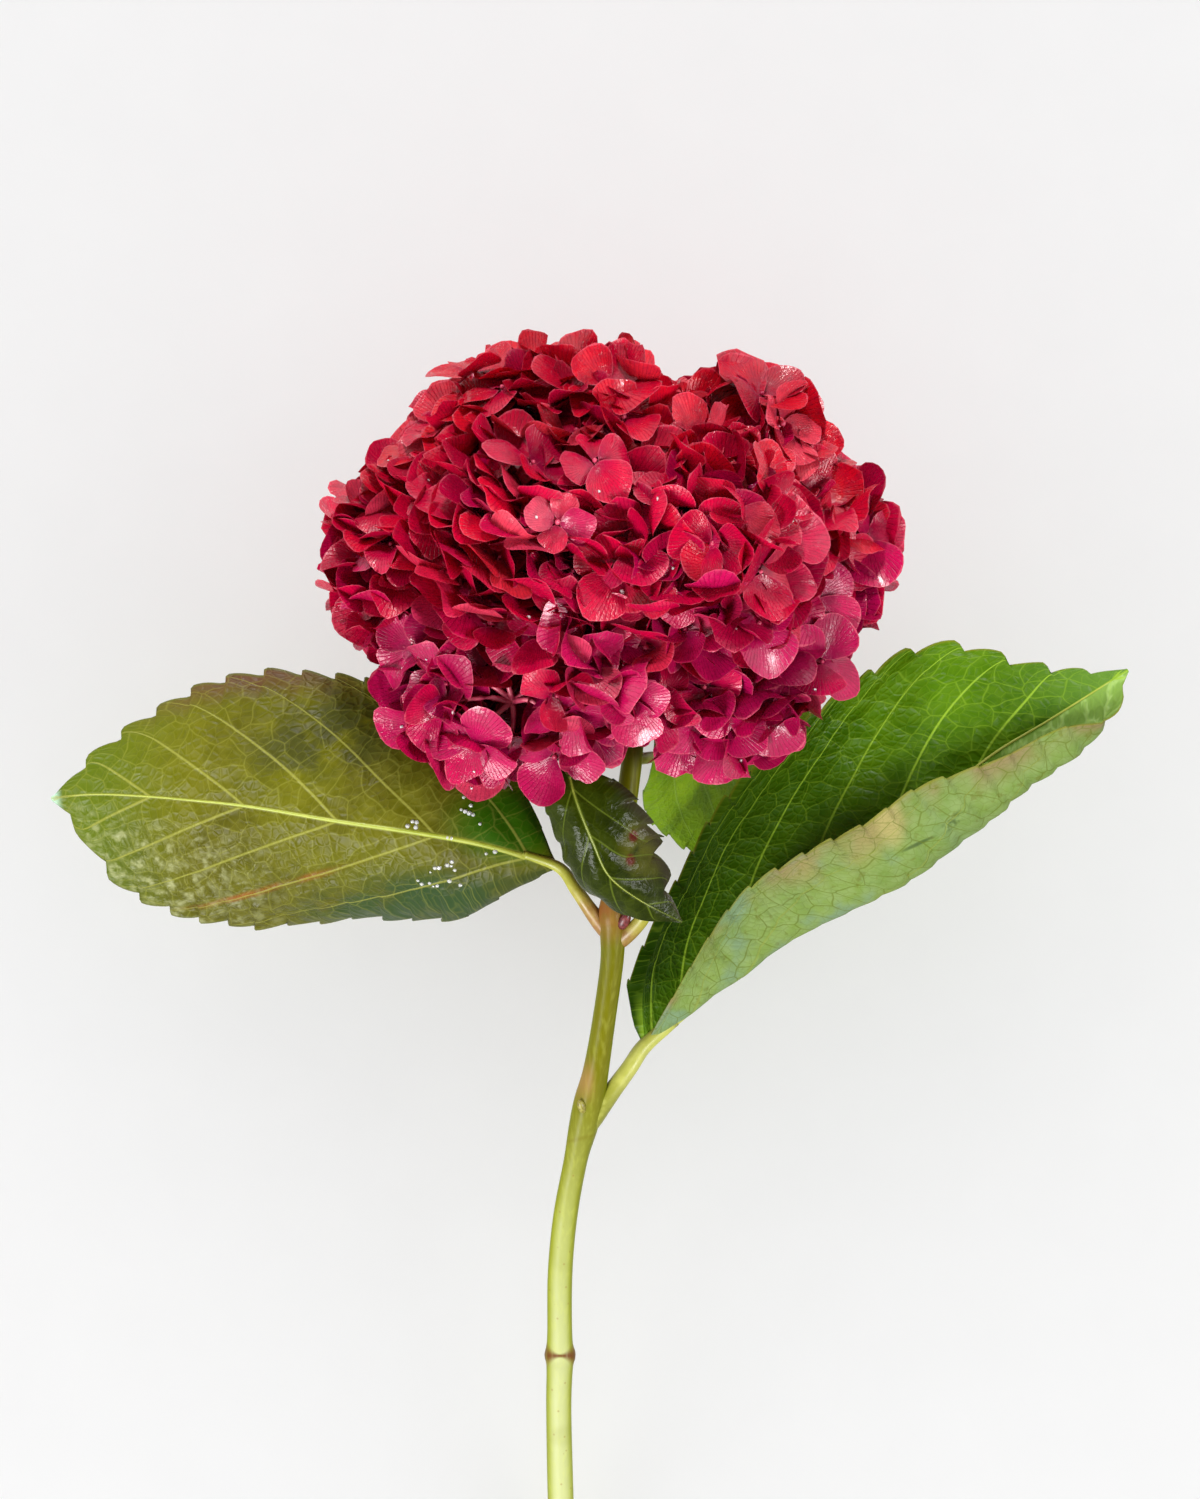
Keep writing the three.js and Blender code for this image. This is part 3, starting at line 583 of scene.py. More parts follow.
def leaf_material(leaf, look):
    """Green upper face with paler veins, pale underside, and a mix with light let through."""
    made, tree, shader, out = new_material(leaf["name"] + "_skin")
    place = node(tree, "TexCoord").outputs["Object"]
    pattern = node(tree, "UVMap", uv_map="pattern").outputs[0]
    share = marked(tree, "share")
    across = marked(tree, "across")
    under = marked(tree, "under")
    veins = tree.nodes.new("ShaderNodeGroup")
    veins.node_tree = VEINS
    slant = {half["side"]: half["slant"] for half in leaf["halves"]}
    lean, later = (rise(tree, across, -0.01, 0.01, slant[-1][part], slant[1][part]) for part in (0, 1))
    given = {"Share": share, "Across": across, "Pattern": pattern, "Lean": lean, "Later": later}
    for socket, value in given.items():
        tree.links.new(value, veins.inputs[socket])
    counts = {"Pairs": leaf["vein_pairs"], "Crowding": leaf["vein_crowding"], "Start": leaf["vein_start"]}
    for socket, value in counts.items():
        veins.inputs[socket].default_value = value
    sizes = {"Length": leaf_length(leaf), "Width": look["vein_width"], "Net Size": look["net_size"]}
    for socket, value in sizes.items():
        veins.inputs[socket].default_value = value * MM
    main, net, height, phase = (veins.outputs[name] for name in ("Main", "Net", "Height", "Phase"))
    patches = noise(tree, place, 28.0)
    mottle = noise(tree, place, 260.0, 4.0)
    upper = blend(tree, rise(tree, patches, 0.35, 0.65), look["green"], look["deep"])
    upper = blend(tree, rise(tree, mottle, 0.3, 0.75, 0.0, 0.35), upper, look["light"])
    upper = look["tints"](tree, place, share, across, phase, height, upper)
    upper = blend(tree, times(tree, net, look["net_strength"]), upper, look["vein"])
    upper = blend(tree, times(tree, main, look["main_strength"]), upper, look["vein"])
    lower = blend(tree, rise(tree, patches, 0.35, 0.65), look["under"], look["under_deep"])
    lower = blend(tree, rise(tree, mottle, 0.3, 0.75, 0.0, 0.4), lower, look["under_light"])
    lower = look["under_tints"](tree, place, share, across, phase, height, lower)
    lower = blend(tree, times(tree, net, 0.7), lower, look["under_vein"])
    lower = blend(tree, times(tree, main, 0.5), lower, look["under_rib"])
    both = blend(tree, under, upper, lower)
    edge = rise(tree, calc(tree, "ABSOLUTE", across), 0.972, 0.995, 0.0, 0.7)
    both = blend(tree, edge, both, look["edge"])
    tree.links.new(both, shader.inputs["Base Color"])
    gloss = rise(tree, mottle, 0.2, 0.8, look["rough"] - 0.07, look["rough"] + 0.08)
    gloss = calc(tree, "ADD", gloss, times(tree, under, 0.14))
    tree.links.new(gloss, shader.inputs["Roughness"])
    shader.inputs["Specular IOR Level"].default_value = look["shine"]
    signed = calc(tree, "MULTIPLY_ADD", under, -1.7, 1.0)
    relief = times(tree, calc(tree, "MULTIPLY_ADD", mottle, 0.12, height), signed)
    relief = times(tree, relief, look["puckers"](tree, share, across))
    normal = emboss(tree, shader, relief, look["relief"], 0.0009)
    let_light_through(tree, shader, out, both, normal, look["through"])
    return made


def stalk_material(name, base, tip, joint, joint_place, joint_share, joint_reach):
    """A petiole's skin from its base to its tip, turning to the stem's colour where they join."""
    made, tree, shader, _ = new_material(name)
    place = node(tree, "TexCoord").outputs["Object"]
    streaks = noise(tree, place, 320.0, 4.0)
    joint_at = tuple(MM * np.array(joint_place))
    gone = node(tree, "VectorMath", {0: place, 1: joint_at}, operation="DISTANCE").outputs["Value"]
    skin = blend(tree, rise(tree, gone, 0.004, 0.05), base, tip)
    skin = blend(tree, rise(tree, gone, 0.15 * joint_reach, joint_reach, joint_share, 0.0), skin, joint)
    skin = blend(tree, rise(tree, streaks, 0.4, 0.75, 0.0, 0.24), skin, colour(188, 188, 90))
    tree.links.new(skin, shader.inputs["Base Color"])
    tree.links.new(rise(tree, streaks, 0.3, 0.7, 0.35, 0.5), shader.inputs["Roughness"])
    emboss(tree, shader, streaks, 0.25, 0.0003)
    return made


def patch(tree, place, middle, reach, turn=0.0):
    """1 at a point in millimetres, falling to 0 over an oval of that reach in X, Y and Z, turned by
    that many degrees seen from above."""
    oval = {"Vector": place, "Location": tuple(MM * np.array(middle)), "Scale": tuple(MM * np.array(reach)),
            "Rotation": (0.0, 0.0, np.radians(turn))}
    scaled = node(tree, "Mapping", oval, vector_type="TEXTURE").outputs[0]
    gone = node(tree, "VectorMath", {0: scaled}, operation="LENGTH").outputs["Value"]
    return rise(tree, gone, 0.35, 1.0, 1.0, 0.0)


# Left leaf: olive green going to fresh green at the tip, browned along its upper edge, with an
# orange streak in the lower half, which is bent away. Its petiole leaves the upper node.
# In a leaf's table the upper side looks the way of facing, the midrib is a row of places from
# base to tip, and the petiole has its radius in each row. The widths of each half and its bends,
# in degrees from the midrib out to the edge, stand at even steps from base to tip. A slant says
# how far the side veins lean to the tip, and how much more they do so further on.
LEAF_LEFT = {
    "name": "leaf_left", "slot": "leaf", "facing": [0, 0, 1],
    "midrib": [
        [-15.9, -89.7, 71], [-34.5, -83.9, 72], [-53.1, -80.1, 71], [-82.5, -75.8, 68],
        [-109.5, -71.4, 63], [-128.5, -69.4, 58.5], [-144, -68.2, 54], [-158.5, -67.8, 50], [-170.5, -69, 47],
    ],
    "teeth": 16, "tooth_depth": 2.2, "vein_pairs": 5.4, "vein_start": 0.68, "vein_crowding": 1.0,
    "swell": 1.1, "ripple": 0.7, "rib": 1.3,
    "halves": [
        {
            "side": -1, "tooth_start": 0.1, "ripple_start": 0.2, "slant": (1.0, 0.8),
            "widths": [2, 25, 37, 44, 44.5, 41, 32, 17, 0.5],
            "bends": [
                [0, -40], [-2, -36], [-4, -32], [0, -26], [5, -22], [8, -20], [10, -15], [5, -8], [0, 0],
            ],
        },
        {
            "side": 1, "tooth_start": 0.5, "ripple_start": 0.6, "slant": (1.6, 0.5),
            "widths": [2, 28, 38, 44, 45, 43.5, 40.5, 30, 0.5],
            "bends": [
                [-10, -55], [-10, -70], [-12, -76], [-12, -78], [-10, -70], [-5, -52], [-5, -46],
                [-5, -40], [0, 0],
            ],
        },
    ],
    "petiole": [
        [1.4, -112, 70.4, 2.4], [-2.4, -107.8, 71.4, 2.7], [-6.2, -102.9, 72.8, 2.3],
        [-10.6, -96.6, 73.2, 2.0], [-15.9, -89.7, 71.3, 1.7], [-27, -85.6, 71.2, 1.2],
    ],
}


def left_tints(tree, place, share, across, phase, height, base):
    """Fresh green at the base and the tip, a dark cloud and a brown edge on the upper half, teal
    and painted pale glints on the lower, and the orange streak along one of its side veins."""
    cloud = noise(tree, place, 90.0)
    glaze = noise(tree, place, 330.0, 3.0)
    base = blend(tree, rise(tree, share, 0.7, 0.95, 0.0, 0.7), base, colour(80, 102, 12))
    base = blend(tree, rise(tree, share, 0.975, 0.998), base, colour(168, 206, 186))
    shade = patch(tree, place, (-84, -50, 65), (40, 17, 40), 20.0)
    shade = times(tree, shade, rise(tree, cloud, 0.35, 0.55), 0.85)
    base = blend(tree, shade, base, colour(56, 58, 16))
    fresh = times(tree, patch(tree, place, (-29, -76, 70), (26, 16, 40)), 0.95)
    base = blend(tree, fresh, base, colour(40, 84, 0))
    upper_edge = times(tree, rise(tree, across, -1.0, -0.74, 1.0, 0.0), near(tree, share, 0.62, 0.28), 0.85)
    base = blend(tree, upper_edge, base, colour(92, 56, 44))
    lower_base = times(tree, rise(tree, across, 0.1, 0.5), rise(tree, share, 0.25, 0.5, 0.85, 0.0))
    base = blend(tree, lower_base, base, colour(46, 58, 18))
    teal = patch(tree, place, (-62, -101, 50), (46, 13, 60), 8.0)
    teal = times(tree, teal, rise(tree, cloud, 0.3, 0.55), 0.7)
    base = blend(tree, teal, base, colour(36, 64, 32))
    # Pale glints on the swellings of the lower half towards the tip: painted highlights.
    painted_glint = times(tree, rise(tree, across, 0.12, 0.4), near(tree, share, 0.78, 0.36),
                  rise(tree, glaze, 0.4, 0.68), rise(tree, height, 0.2, 1.2, 0.35, 1.0), 0.6)
    base = blend(tree, painted_glint, base, colour(168, 170, 122))
    streak = times(tree, near(tree, phase, 2.03, 0.15), near(tree, across, 0.6, 0.4),
                   rise(tree, cloud, 0.3, 0.6, 0.15, 1.0), 0.75)
    return blend(tree, streak, base, colour(146, 70, 26))


def no_tints(tree, place, share, across, phase, height, base):
    """A face without marks of its own."""
    return base


def left_puckers(tree, share, across):
    """The lower half swells between its veins, most of all towards the tip."""
    return times(tree, rise(tree, across, 0.1, 0.35, 1.0, 2.4), near(tree, share, 0.7, 0.9))


def even_puckers(tree, share, across):
    """The same relief all over."""
    return 1.0


LEFT_LOOK = {
    "green": colour(88, 88, 2), "deep": colour(70, 68, 6), "light": colour(110, 107, 18),
    "vein": colour(146, 146, 62), "under": colour(126, 138, 94), "under_deep": colour(108, 120, 80),
    "under_light": colour(146, 154, 112), "under_vein": colour(160, 166, 118),
    "under_rib": colour(172, 176, 118), "edge": colour(90, 94, 42), "vein_width": 0.38, "net_size": 8.0,
    "net_strength": 0.24, "main_strength": 0.6, "rough": 0.42, "shine": 0.16, "relief": 0.38,
    "through": 0.16, "tints": left_tints, "under_tints": no_tints, "puckers": left_puckers,
}
left_stalk = stalk_material("leaf_left_stalk", colour(150, 146, 44), colour(136, 146, 40),
                            colour(124, 80, 34), (-3, -106, 73), 0.9, 0.017)
left_points, left_faces = make_leaf(LEAF_LEFT, leaf_material(LEAF_LEFT, LEFT_LOOK), left_stalk)

# Right leaf: the largest, deep green with light veins. Its lower half is rolled over towards the
# viewer and shows the pale underside, browned along the toothed edge.
LEAF_RIGHT = {
    "name": "leaf_right", "slot": "leaf", "facing": [0, 0, 1],
    "midrib": [
        [10, -143.8, 57.5], [27.4, -129.4, 56], [47.6, -113.6, 54.5], [67, -97.6, 53.5],
        [88.2, -79.5, 54], [112.4, -57.9, 56], [132.4, -45.2, 58], [144.3, -37.6, 60], [156, -30.1, 62],
    ],
    "teeth": 19, "tooth_depth": 2.0, "vein_pairs": 7.0, "vein_start": 0.1, "vein_crowding": 0.5,
    "swell": 0.9, "ripple": 0.8, "rib": 1.9,
    "halves": [
        {
            "side": 1, "tooth_start": 0.0, "ripple_start": 0.1, "slant": (0.6, 2.4),
            "widths": [15, 27, 38, 45, 47, 44.5, 38.5, 16, 0.5],
            "bends": [
                [-5, -20], [-8, -22], [-8, -22], [-6, -22], [-4, -20], [0, -16], [2, -10], [2, 0], [0, 0],
            ],
        },
        {
            "side": -1, "tooth_start": 0.4, "ripple_start": 0.5, "slant": (0.8, 1.6),
            "widths": [2, 17, 28, 37, 45, 46, 34, 27, 0.5],
            "bends": [
                [30, 110, 150, 165, 170], [25, 110, 158, 165, 165], [25, 120, 160, 168, 170],
                [12, 85, 150, 168, 170], [0, 50, 130, 165, 172], [0, 38, 118, 165, 172],
                [0, 15, 80, 160, 168], [0, 10, 60, 145, 160], [0, 0, 0, 0, 0],
            ],
        },
    ],
    "petiole": [
        [-10.2, -175, 54.2, 2.4], [-8.2, -170, 55.8, 2.8], [-4.6, -164.5, 57.6, 2.9],
        [-0.2, -158, 58.6, 2.8], [5.3, -150.5, 58.6, 2.6], [10, -143.8, 57.2, 2.4], [19, -136.2, 56, 2.0],
    ],
}


def right_tints(tree, place, share, across, phase, height, base):
    """Paler towards the tip, where the rolled half shows its upper face under a painted sheen with
    painted glints along its net, and painted shade, dark green, along the hidden edge at the base."""
    base = blend(tree, rise(tree, share, 0.8, 1.0, 0.0, 0.6), base, colour(92, 128, 52))
    sheen = times(tree, rise(tree, share, 0.68, 0.8, 0.0, 0.85), rise(tree, across, -0.04, 0.0, 1.0, 0.0))
    base = blend(tree, sheen, base, colour(118, 150, 66))
    # Pale lines along the net inside the sheen: painted glints on the veins.
    painted_net_glint = times(tree, sheen, rise(tree, height, 0.15, 0.7, 0.8, 0.0))
    base = blend(tree, painted_net_glint, base, colour(152, 180, 104))
    shade = times(tree, rise(tree, share, 0.3, 0.62, 1.0, 0.0), rise(tree, across, 0.2, 0.7), 0.7)
    return blend(tree, shade, base, colour(28, 56, 0))


def right_under_tints(tree, place, share, across, phase, height, base):
    """The pale underside: browned along its toothed rim and faded beside the fold, with olive flecks,
    a bluish bloom near the base, a crease, and a painted shadow line with a bruise beside it."""
    cloud = noise(tree, place, 45.0)
    rim = times(tree, rise(tree, across, -1.0, -0.72, 1.0, 0.0), rise(tree, cloud, 0.35, 0.6), 0.85)
    base = blend(tree, rim, base, colour(124, 104, 72))
    fade = patch(tree, place, (68, -82, 75), (24, 14, 40), 30.0)
    fade = times(tree, fade, rise(tree, cloud, 0.3, 0.6), 0.7)
    base = blend(tree, fade, base, colour(136, 124, 74))
    flecks = rise(tree, noise(tree, place, 330.0), 0.6, 0.72, 0.0, 0.5)
    base = blend(tree, flecks, base, colour(88, 92, 20))
    blue = rise(tree, noise(tree, place, 70.0), 0.45, 0.65)
    blue = times(tree, blue, rise(tree, share, 0.4, 0.7, 0.7, 0.0))
    base = blend(tree, blue, base, colour(102, 126, 100))
    crease = patch(tree, place, (83, -74, 75), (6, 13, 40), 16.0)
    crease = times(tree, crease, rise(tree, cloud, 0.25, 0.6), 0.75)
    base = blend(tree, crease, base, colour(152, 142, 88))
    # A thin dark line beside the crease: painted shadow.
    shadow_line = patch(tree, place, (92, -82.6, 75), (7.5, 0.8, 40), 25.0)
    bruise = patch(tree, place, (103, -75.5, 75), (8, 2.2, 40), 42.0)
    bruise = times(tree, bruise, rise(tree, noise(tree, place, 300.0), 0.4, 0.6))
    dark = times(tree, calc(tree, "MAXIMUM", shadow_line, bruise), 0.75)
    return blend(tree, dark, base, colour(46, 66, 24))


RIGHT_LOOK = {
    "green": colour(67, 104, 0), "deep": colour(45, 80, 0), "light": colour(90, 124, 2),
    "vein": colour(132, 164, 42), "under": colour(106, 128, 58), "under_deep": colour(92, 116, 48),
    "under_light": colour(128, 146, 94), "under_vein": colour(80, 92, 14), "under_rib": colour(118, 128, 50),
    "edge": colour(110, 112, 26), "vein_width": 0.34, "net_size": 8.0, "net_strength": 0.3,
    "main_strength": 0.85, "rough": 0.4, "shine": 0.15, "relief": 0.35, "through": 0.16,
    "tints": right_tints, "under_tints": right_under_tints, "puckers": even_puckers,
}
right_stalk = stalk_material("leaf_right_stalk", colour(150, 150, 66), colour(142, 146, 54),
                             colour(104, 106, 6), (-5, -165, 57), 1.0, 0.021)
right_points, _ = make_leaf(LEAF_RIGHT, leaf_material(LEAF_RIGHT, RIGHT_LOOK), right_stalk)

# Front leaf: small, dark and glossy, its base under the florets. Its petiole comes from the upper
# node and runs up behind the blade, in front of the stem.
LEAF_FRONT = {
    "name": "leaf_front", "slot": "leaf_dark", "facing": [0.1, 0, 1],
    "midrib": [
        [-13.8, -57.5, 101], [-10.6, -69.5, 105], [-5.6, -82, 104.5], [-0.9, -91.8, 101.5],
        [8.3, -99.1, 96.5], [20.8, -105.7, 89],
    ],
    "teeth": 7, "tooth_depth": 2.4, "vein_pairs": 4.5, "vein_start": 0.4, "vein_crowding": 1.0,
    "swell": 0.8, "ripple": 0.4, "rib": 0.62,
    "halves": [
        {
            "side": 1, "tooth_start": 0.0, "ripple_start": 0.3, "slant": (1.6, 0.0), "tooth_share": 1.4,
            "widths": [2, 14, 17, 18.5, 20, 19.5, 15, 6.5, 0.4],
            "bends": [[5, -20], [5, -20], [5, -25], [5, -25], [5, -25], [5, -30], [5, -25], [0, -10], [0, 0]],
        },
        {
            "side": -1, "tooth_start": 0.5, "ripple_start": 0.8, "slant": (1.4, 0.0), "tooth_share": 0.3,
            "widths": [2, 9, 12, 14, 14.5, 12, 8.5, 3.5, 0.4],
            "bends": [
                [0, -40], [-10, -50], [-15, -65], [-20, -80], [-20, -85], [-20, -85], [-20, -70],
                [0, -30], [0, 0],
            ],
        },
    ],
    "petiole": [
        [-1.2, -114, 70.2, 2.4], [2.5, -111.7, 71.5, 2.7], [6.2, -108.4, 74.2, 2.4], [9.4, -104.6, 77, 2.1],
        [11.9, -99, 80.5, 1.8], [12.2, -91, 86, 1.6], [5, -77, 93, 1.5], [-5.5, -63, 98, 1.4],
        [-13.8, -57.5, 100.8, 1.3], [-12.4, -63, 102.6, 0.9],
    ],
}


def front_tints(tree, place, share, across, phase, height, base):
    """Yellowed beside the midrib, dusky brown along the lower edge, and two dark red spots."""
    cloud = noise(tree, place, 120.0)
    yellow = patch(tree, place, (9, -84, 100), (9, 13, 40), 25.0)
    yellow = times(tree, yellow, rise(tree, cloud, 0.3, 0.55), 0.6)
    base = blend(tree, yellow, base, colour(78, 76, 12))
    base = blend(tree, rise(tree, across, 0.62, 0.95, 0.0, 0.7), base, colour(46, 36, 28))
    for middle in ((6.3, -80, 103), (5.5, -87, 101)):
        spot = times(tree, patch(tree, place, middle, (1.9, 2.4, 40)), rise(tree, cloud, 0.2, 0.5))
        base = blend(tree, spot, base, colour(76, 18, 8))
    return base


FRONT_LOOK = {
    "green": colour(36, 46, 0), "deep": colour(20, 28, 0), "light": colour(56, 66, 2),
    "vein": colour(84, 98, 26), "under": colour(74, 90, 50), "under_deep": colour(60, 76, 42),
    "under_light": colour(94, 108, 64), "under_vein": colour(100, 114, 66), "under_rib": colour(110, 124, 72),
    "edge": colour(52, 58, 24), "vein_width": 0.24, "net_size": 5.0, "net_strength": 0.12,
    "main_strength": 0.6, "rough": 0.25, "shine": 0.1, "relief": 0.12, "through": 0.06,
    "tints": front_tints, "under_tints": no_tints, "puckers": even_puckers,
}
front_stalk = stalk_material("leaf_front_stalk", colour(132, 130, 30), colour(108, 118, 32),
                             colour(112, 76, 28), (2, -111, 73), 0.95, 0.013)
make_leaf(LEAF_FRONT, leaf_material(LEAF_FRONT, FRONT_LOOK), front_stalk)

# Back leaf: light green, behind the bloom and the right leaf, drooping from the stem's top down to
# the table.
LEAF_BACK = {
    "name": "leaf_back", "slot": "leaf", "facing": [0.35, 0.05, 1],
    "midrib": [
        [12.6, -56.5, 64], [24, -57.5, 40], [38.4, -61.5, 21], [52, -71, 10], [63.5, -87.5, 4.5],
    ],
    "teeth": 11, "tooth_depth": 1.9, "vein_pairs": 5.5, "vein_start": 0.2, "vein_crowding": 1.0,
    "swell": 1.0, "ripple": 0.6, "rib": 1.1,
    "halves": [
        {
            "side": 1, "tooth_start": 0.2, "ripple_start": 0.0, "slant": (1.0, 0.5),
            "widths": [3, 17, 27, 33, 35, 32, 24, 11, 0.5],
            "bends": [
                [0, -20], [-5, -30], [-10, -35], [-10, -38], [-5, -30], [0, -18], [5, -5], [5, 5], [0, 0],
            ],
        },
        {
            "side": -1, "tooth_start": 0.7, "ripple_start": 0.4, "slant": (1.0, 0.5),
            "widths": [3, 15, 22, 26, 28, 26, 20, 10, 0.5],
            "bends": [
                [-10, -50], [-15, -60], [-15, -55], [-10, -45], [-5, -30], [5, -10], [10, 5], [5, 5], [0, 0],
            ],
        },
    ],
    "petiole": [
        [6.2, -57, 77, 1.8], [9.6, -56.8, 72.5, 1.8], [12.6, -56.5, 64, 1.7], [17.6, -57, 51.8, 1.2],
    ],
}
BACK_LOOK = {
    "green": colour(112, 144, 0), "deep": colour(96, 130, 0), "light": colour(134, 158, 16),
    "vein": colour(120, 150, 50), "under": colour(112, 130, 78), "under_deep": colour(98, 118, 68),
    "under_light": colour(130, 146, 96), "under_vein": colour(90, 112, 56), "under_rib": colour(134, 148, 94),
    "edge": colour(96, 120, 36), "vein_width": 0.36, "net_size": 6.0, "net_strength": 0.4,
    "main_strength": 0.7, "rough": 0.46, "shine": 0.15, "relief": 0.3, "through": 0.25,
    "tints": no_tints, "under_tints": no_tints, "puckers": even_puckers,
}
back_stalk = stalk_material("leaf_back_stalk", colour(128, 128, 44), colour(118, 130, 44),
                            colour(90, 88, 4), (6, -57, 77), 0.9, 0.012)
back_points, _ = make_leaf(LEAF_BACK, leaf_material(LEAF_BACK, BACK_LOOK), back_stalk)

# Axil buds
# Small pointed buds of two closed scales, dark red at the upper node and brownish green at the
# middle one, each seated against the stem above a leaf's petiole.
BUD_RINGS = 24
BUD_SIDES = 20
SEAM_DEPTH = 0.06
# Each bud's middle, half its length and half its width, the way it points, and its two colours.
BUDS = [
    ("bud_upper", (3.7, -105.6, 76.2), 3.1, 1.8, (0.4, 0.75, 0.4), colour(66, 10, 16), colour(112, 36, 34)),
    ("bud_lower", (-9.2, -162, 63.2), 2.3, 1.2, (-0.25, 0.75, 0.35), colour(96, 86, 22),
     colour(134, 128, 48)),
]
# A bud's radius is width sin(turn)^0.9 (1 - 0.3 (turn / pi)^2) as turn goes from base to tip.
for name, centre, length, width, points_to, dark, light in BUDS:
    turn = np.linspace(0.02, np.pi - 0.02, BUD_RINGS)
    axis = unit(np.array(points_to, dtype=float))
    line = np.array(centre) - length * np.cos(turn)[:, None] * axis
    seam = 1 + SEAM_DEPTH * np.cos(2 * (np.arange(BUD_SIDES) + 0.5) / BUD_SIDES * 2 * np.pi)
    radii = width * (np.sin(turn) ** 0.9 * (1 - 0.3 * (turn / np.pi) ** 2))[:, None] * seam
    tube = tube_points(line, np.broadcast_to(axis, line.shape), radii, BUD_SIDES)
    bud_material, tree, shader, _ = new_material(name + "_scale")
    streaks = noise(tree, node(tree, "TexCoord").outputs["Object"], 900.0)
    tree.links.new(blend(tree, rise(tree, streaks, 0.35, 0.7), dark, light), shader.inputs["Base Color"])
    tree.links.new(rise(tree, streaks, 0.3, 0.7, 0.35, 0.5), shader.inputs["Roughness"])
    bud = make_piece(name + "_scales", tube.reshape(-1, 3), tube_quads(BUD_RINGS, BUD_SIDES), bud_material)
    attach(bud, "root")
    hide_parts(name)

# Branches of the bloom
# The stem ends in a crowded, much-branched head. Reddish branches fan out from its top to the
# clusters, and a crimson crowd of pedicels fills the inside, so no light passes through.
BLOOM_CENTRE = np.array([0.0, 2.0, 80.0])
CORE_SHARE = 0.6
CORE_LUMPS = 1.5
CORE_ROWS = 60
CORE_COLUMNS = 120
STEM_TOP = np.array([6.6, -44.0, 78.0])
BRANCH_RINGS = 12
BRANCH_SIDES = 8
BRANCH_SHARE = 0.75
# Each cluster's middle, its radius, the way its florets lean, how far they do, their scatter, and
# how calm they lie: 1 for flat layers, 0 for a ruffled crowd.
CYMES = {
    "crown_left": ([-27, 35, 86], 33, [-0.05, 1.0, 0.5], 0.85, 0.18, 0.8),
    "crown_right": ([38, 34, 86], 28, [0.35, 0.9, 0.6], 0.7, 0.28, 0.5),
    "left": ([-51, 5, 84], 36, [0.15, 0.95, 0.4], 0.9, 0.16, 0.9),
    "right": ([59, 8, 84], 27, [0.3, 0.2, 0.8], 0.4, 0.35, 0.1),
    "right_low": ([57, -13, 88], 21, [0.2, 0.0, 0.9], 0.4, 0.35, 0.1),
    "low_left": ([-38, -35, 97], 31, [-0.1, -0.1, 0.9], 0.35, 0.35, 0.1),
    "low_right": ([31, -29, 96], 32, [0.1, -0.2, 0.9], 0.35, 0.35, 0.1),
    "front_left": ([-26, 8, 116], 37, [0.5, 0.8, 0.42], 0.92, 0.14, 1.0),
    "front_right": ([24, 4, 118], 37, [0.2, 0.4, 0.7], 0.5, 0.42, 0.1),
    "front_low": ([-4, -26, 112], 33, [0.1, 0.2, 0.8], 0.4, 0.4, 0.1),
    "front_crown": ([-4, 36, 102], 31, [0.1, 1.0, 0.5], 0.8, 0.22, 0.7),
    "back_left": ([-38, 5, 52], 36, [0, 0, 1], 0, 0.3, 0),
    "back_right": ([36, 10, 52], 36, [0, 0, 1], 0, 0.3, 0),
    "back_middle": ([0, 4, 44], 43, [0, 0, 1], 0, 0.3, 0),
    "back_crown": ([-4, 29, 56], 33, [0, 0, 1], 0, 0.3, 0),
}
cyme_names = list(CYMES)
cyme_columns = [np.array(column, dtype=float) for column in zip(*CYMES.values())]
cyme_centres, cyme_radii, cyme_leans, cyme_lean_share, cyme_scatter, cyme_calm = cyme_columns
cyme_leans = unit(cyme_leans)


def bloom_surface(directions):
    """Where rays from the bloom's centre leave the last cluster they pass through: the furthest of
    -b + sqrt(b^2 - |o|^2 + r^2), with o the centre seen from a cluster's middle and b = o . ray."""
    offset = BLOOM_CENTRE - cyme_centres
    b = directions @ offset.T
    inside = b**2 - (offset**2).sum(1) + cyme_radii**2
    reach = np.where(inside > 0, -b + np.sqrt(np.maximum(inside, 0)), -1)
    cyme = reach.argmax(1)
    distance = reach.max(1)
    point = BLOOM_CENTRE + directions * distance[:, None]
    return distance, point, unit(point - cyme_centres[cyme]), cyme


def even_directions(count):
    """Rays spread evenly over a sphere: ray i stands at the height 1 - 2 (i + 1/2) / count, a golden
    angle round from the ray before it."""
    index = np.arange(count)
    height = 1 - 2 * (index + 0.5) / count
    radius = np.sqrt(1 - height**2)
    angle = index * np.pi * (3 - np.sqrt(5))
    return np.stack([np.cos(angle) * radius, np.sin(angle) * radius, height], 1)


def bent_lines(starts, knees, ends, share):
    """Curves from their starts to their ends, drawn towards their knees, at shares s from 0 to 1:
    (1 - s)^2 start + 2 s (1 - s) knee + s^2 end."""
    return (1 - share) ** 2 * starts + 2 * share * (1 - share) * knees + share**2 * ends


def repeat_quads(quads, copies, step):
    """The same quads for each of several like shapes, whose points follow step after step."""
    return (quads[None] + np.arange(copies)[:, None, None] * step).reshape(-1, 4)


def make_tubes(name, lines, radii, sides, material):
    """Many like tubes in one piece, each round its own line of points."""
    count, rings = lines.shape[:2]
    radii = np.broadcast_to(radii, (count, rings))
    points = tube_points(lines, unit(np.gradient(lines, axis=1)), radii, sides)
    quads = repeat_quads(tube_quads(rings, sides), count, rings * sides)
    return make_piece(name, points.reshape(-1, 3), quads, material)


def blotched_material(name, scale, first, second, roughness):
    """A skin of two colours in soft blotches, scale of them to a metre."""
    made, tree, shader, _ = new_material(name)
    blotch = noise(tree, node(tree, "TexCoord").outputs["Object"], scale)
    tree.links.new(blend(tree, rise(tree, blotch, 0.35, 0.65), first, second), shader.inputs["Base Color"])
    shader.inputs["Roughness"].default_value = roughness
    return made


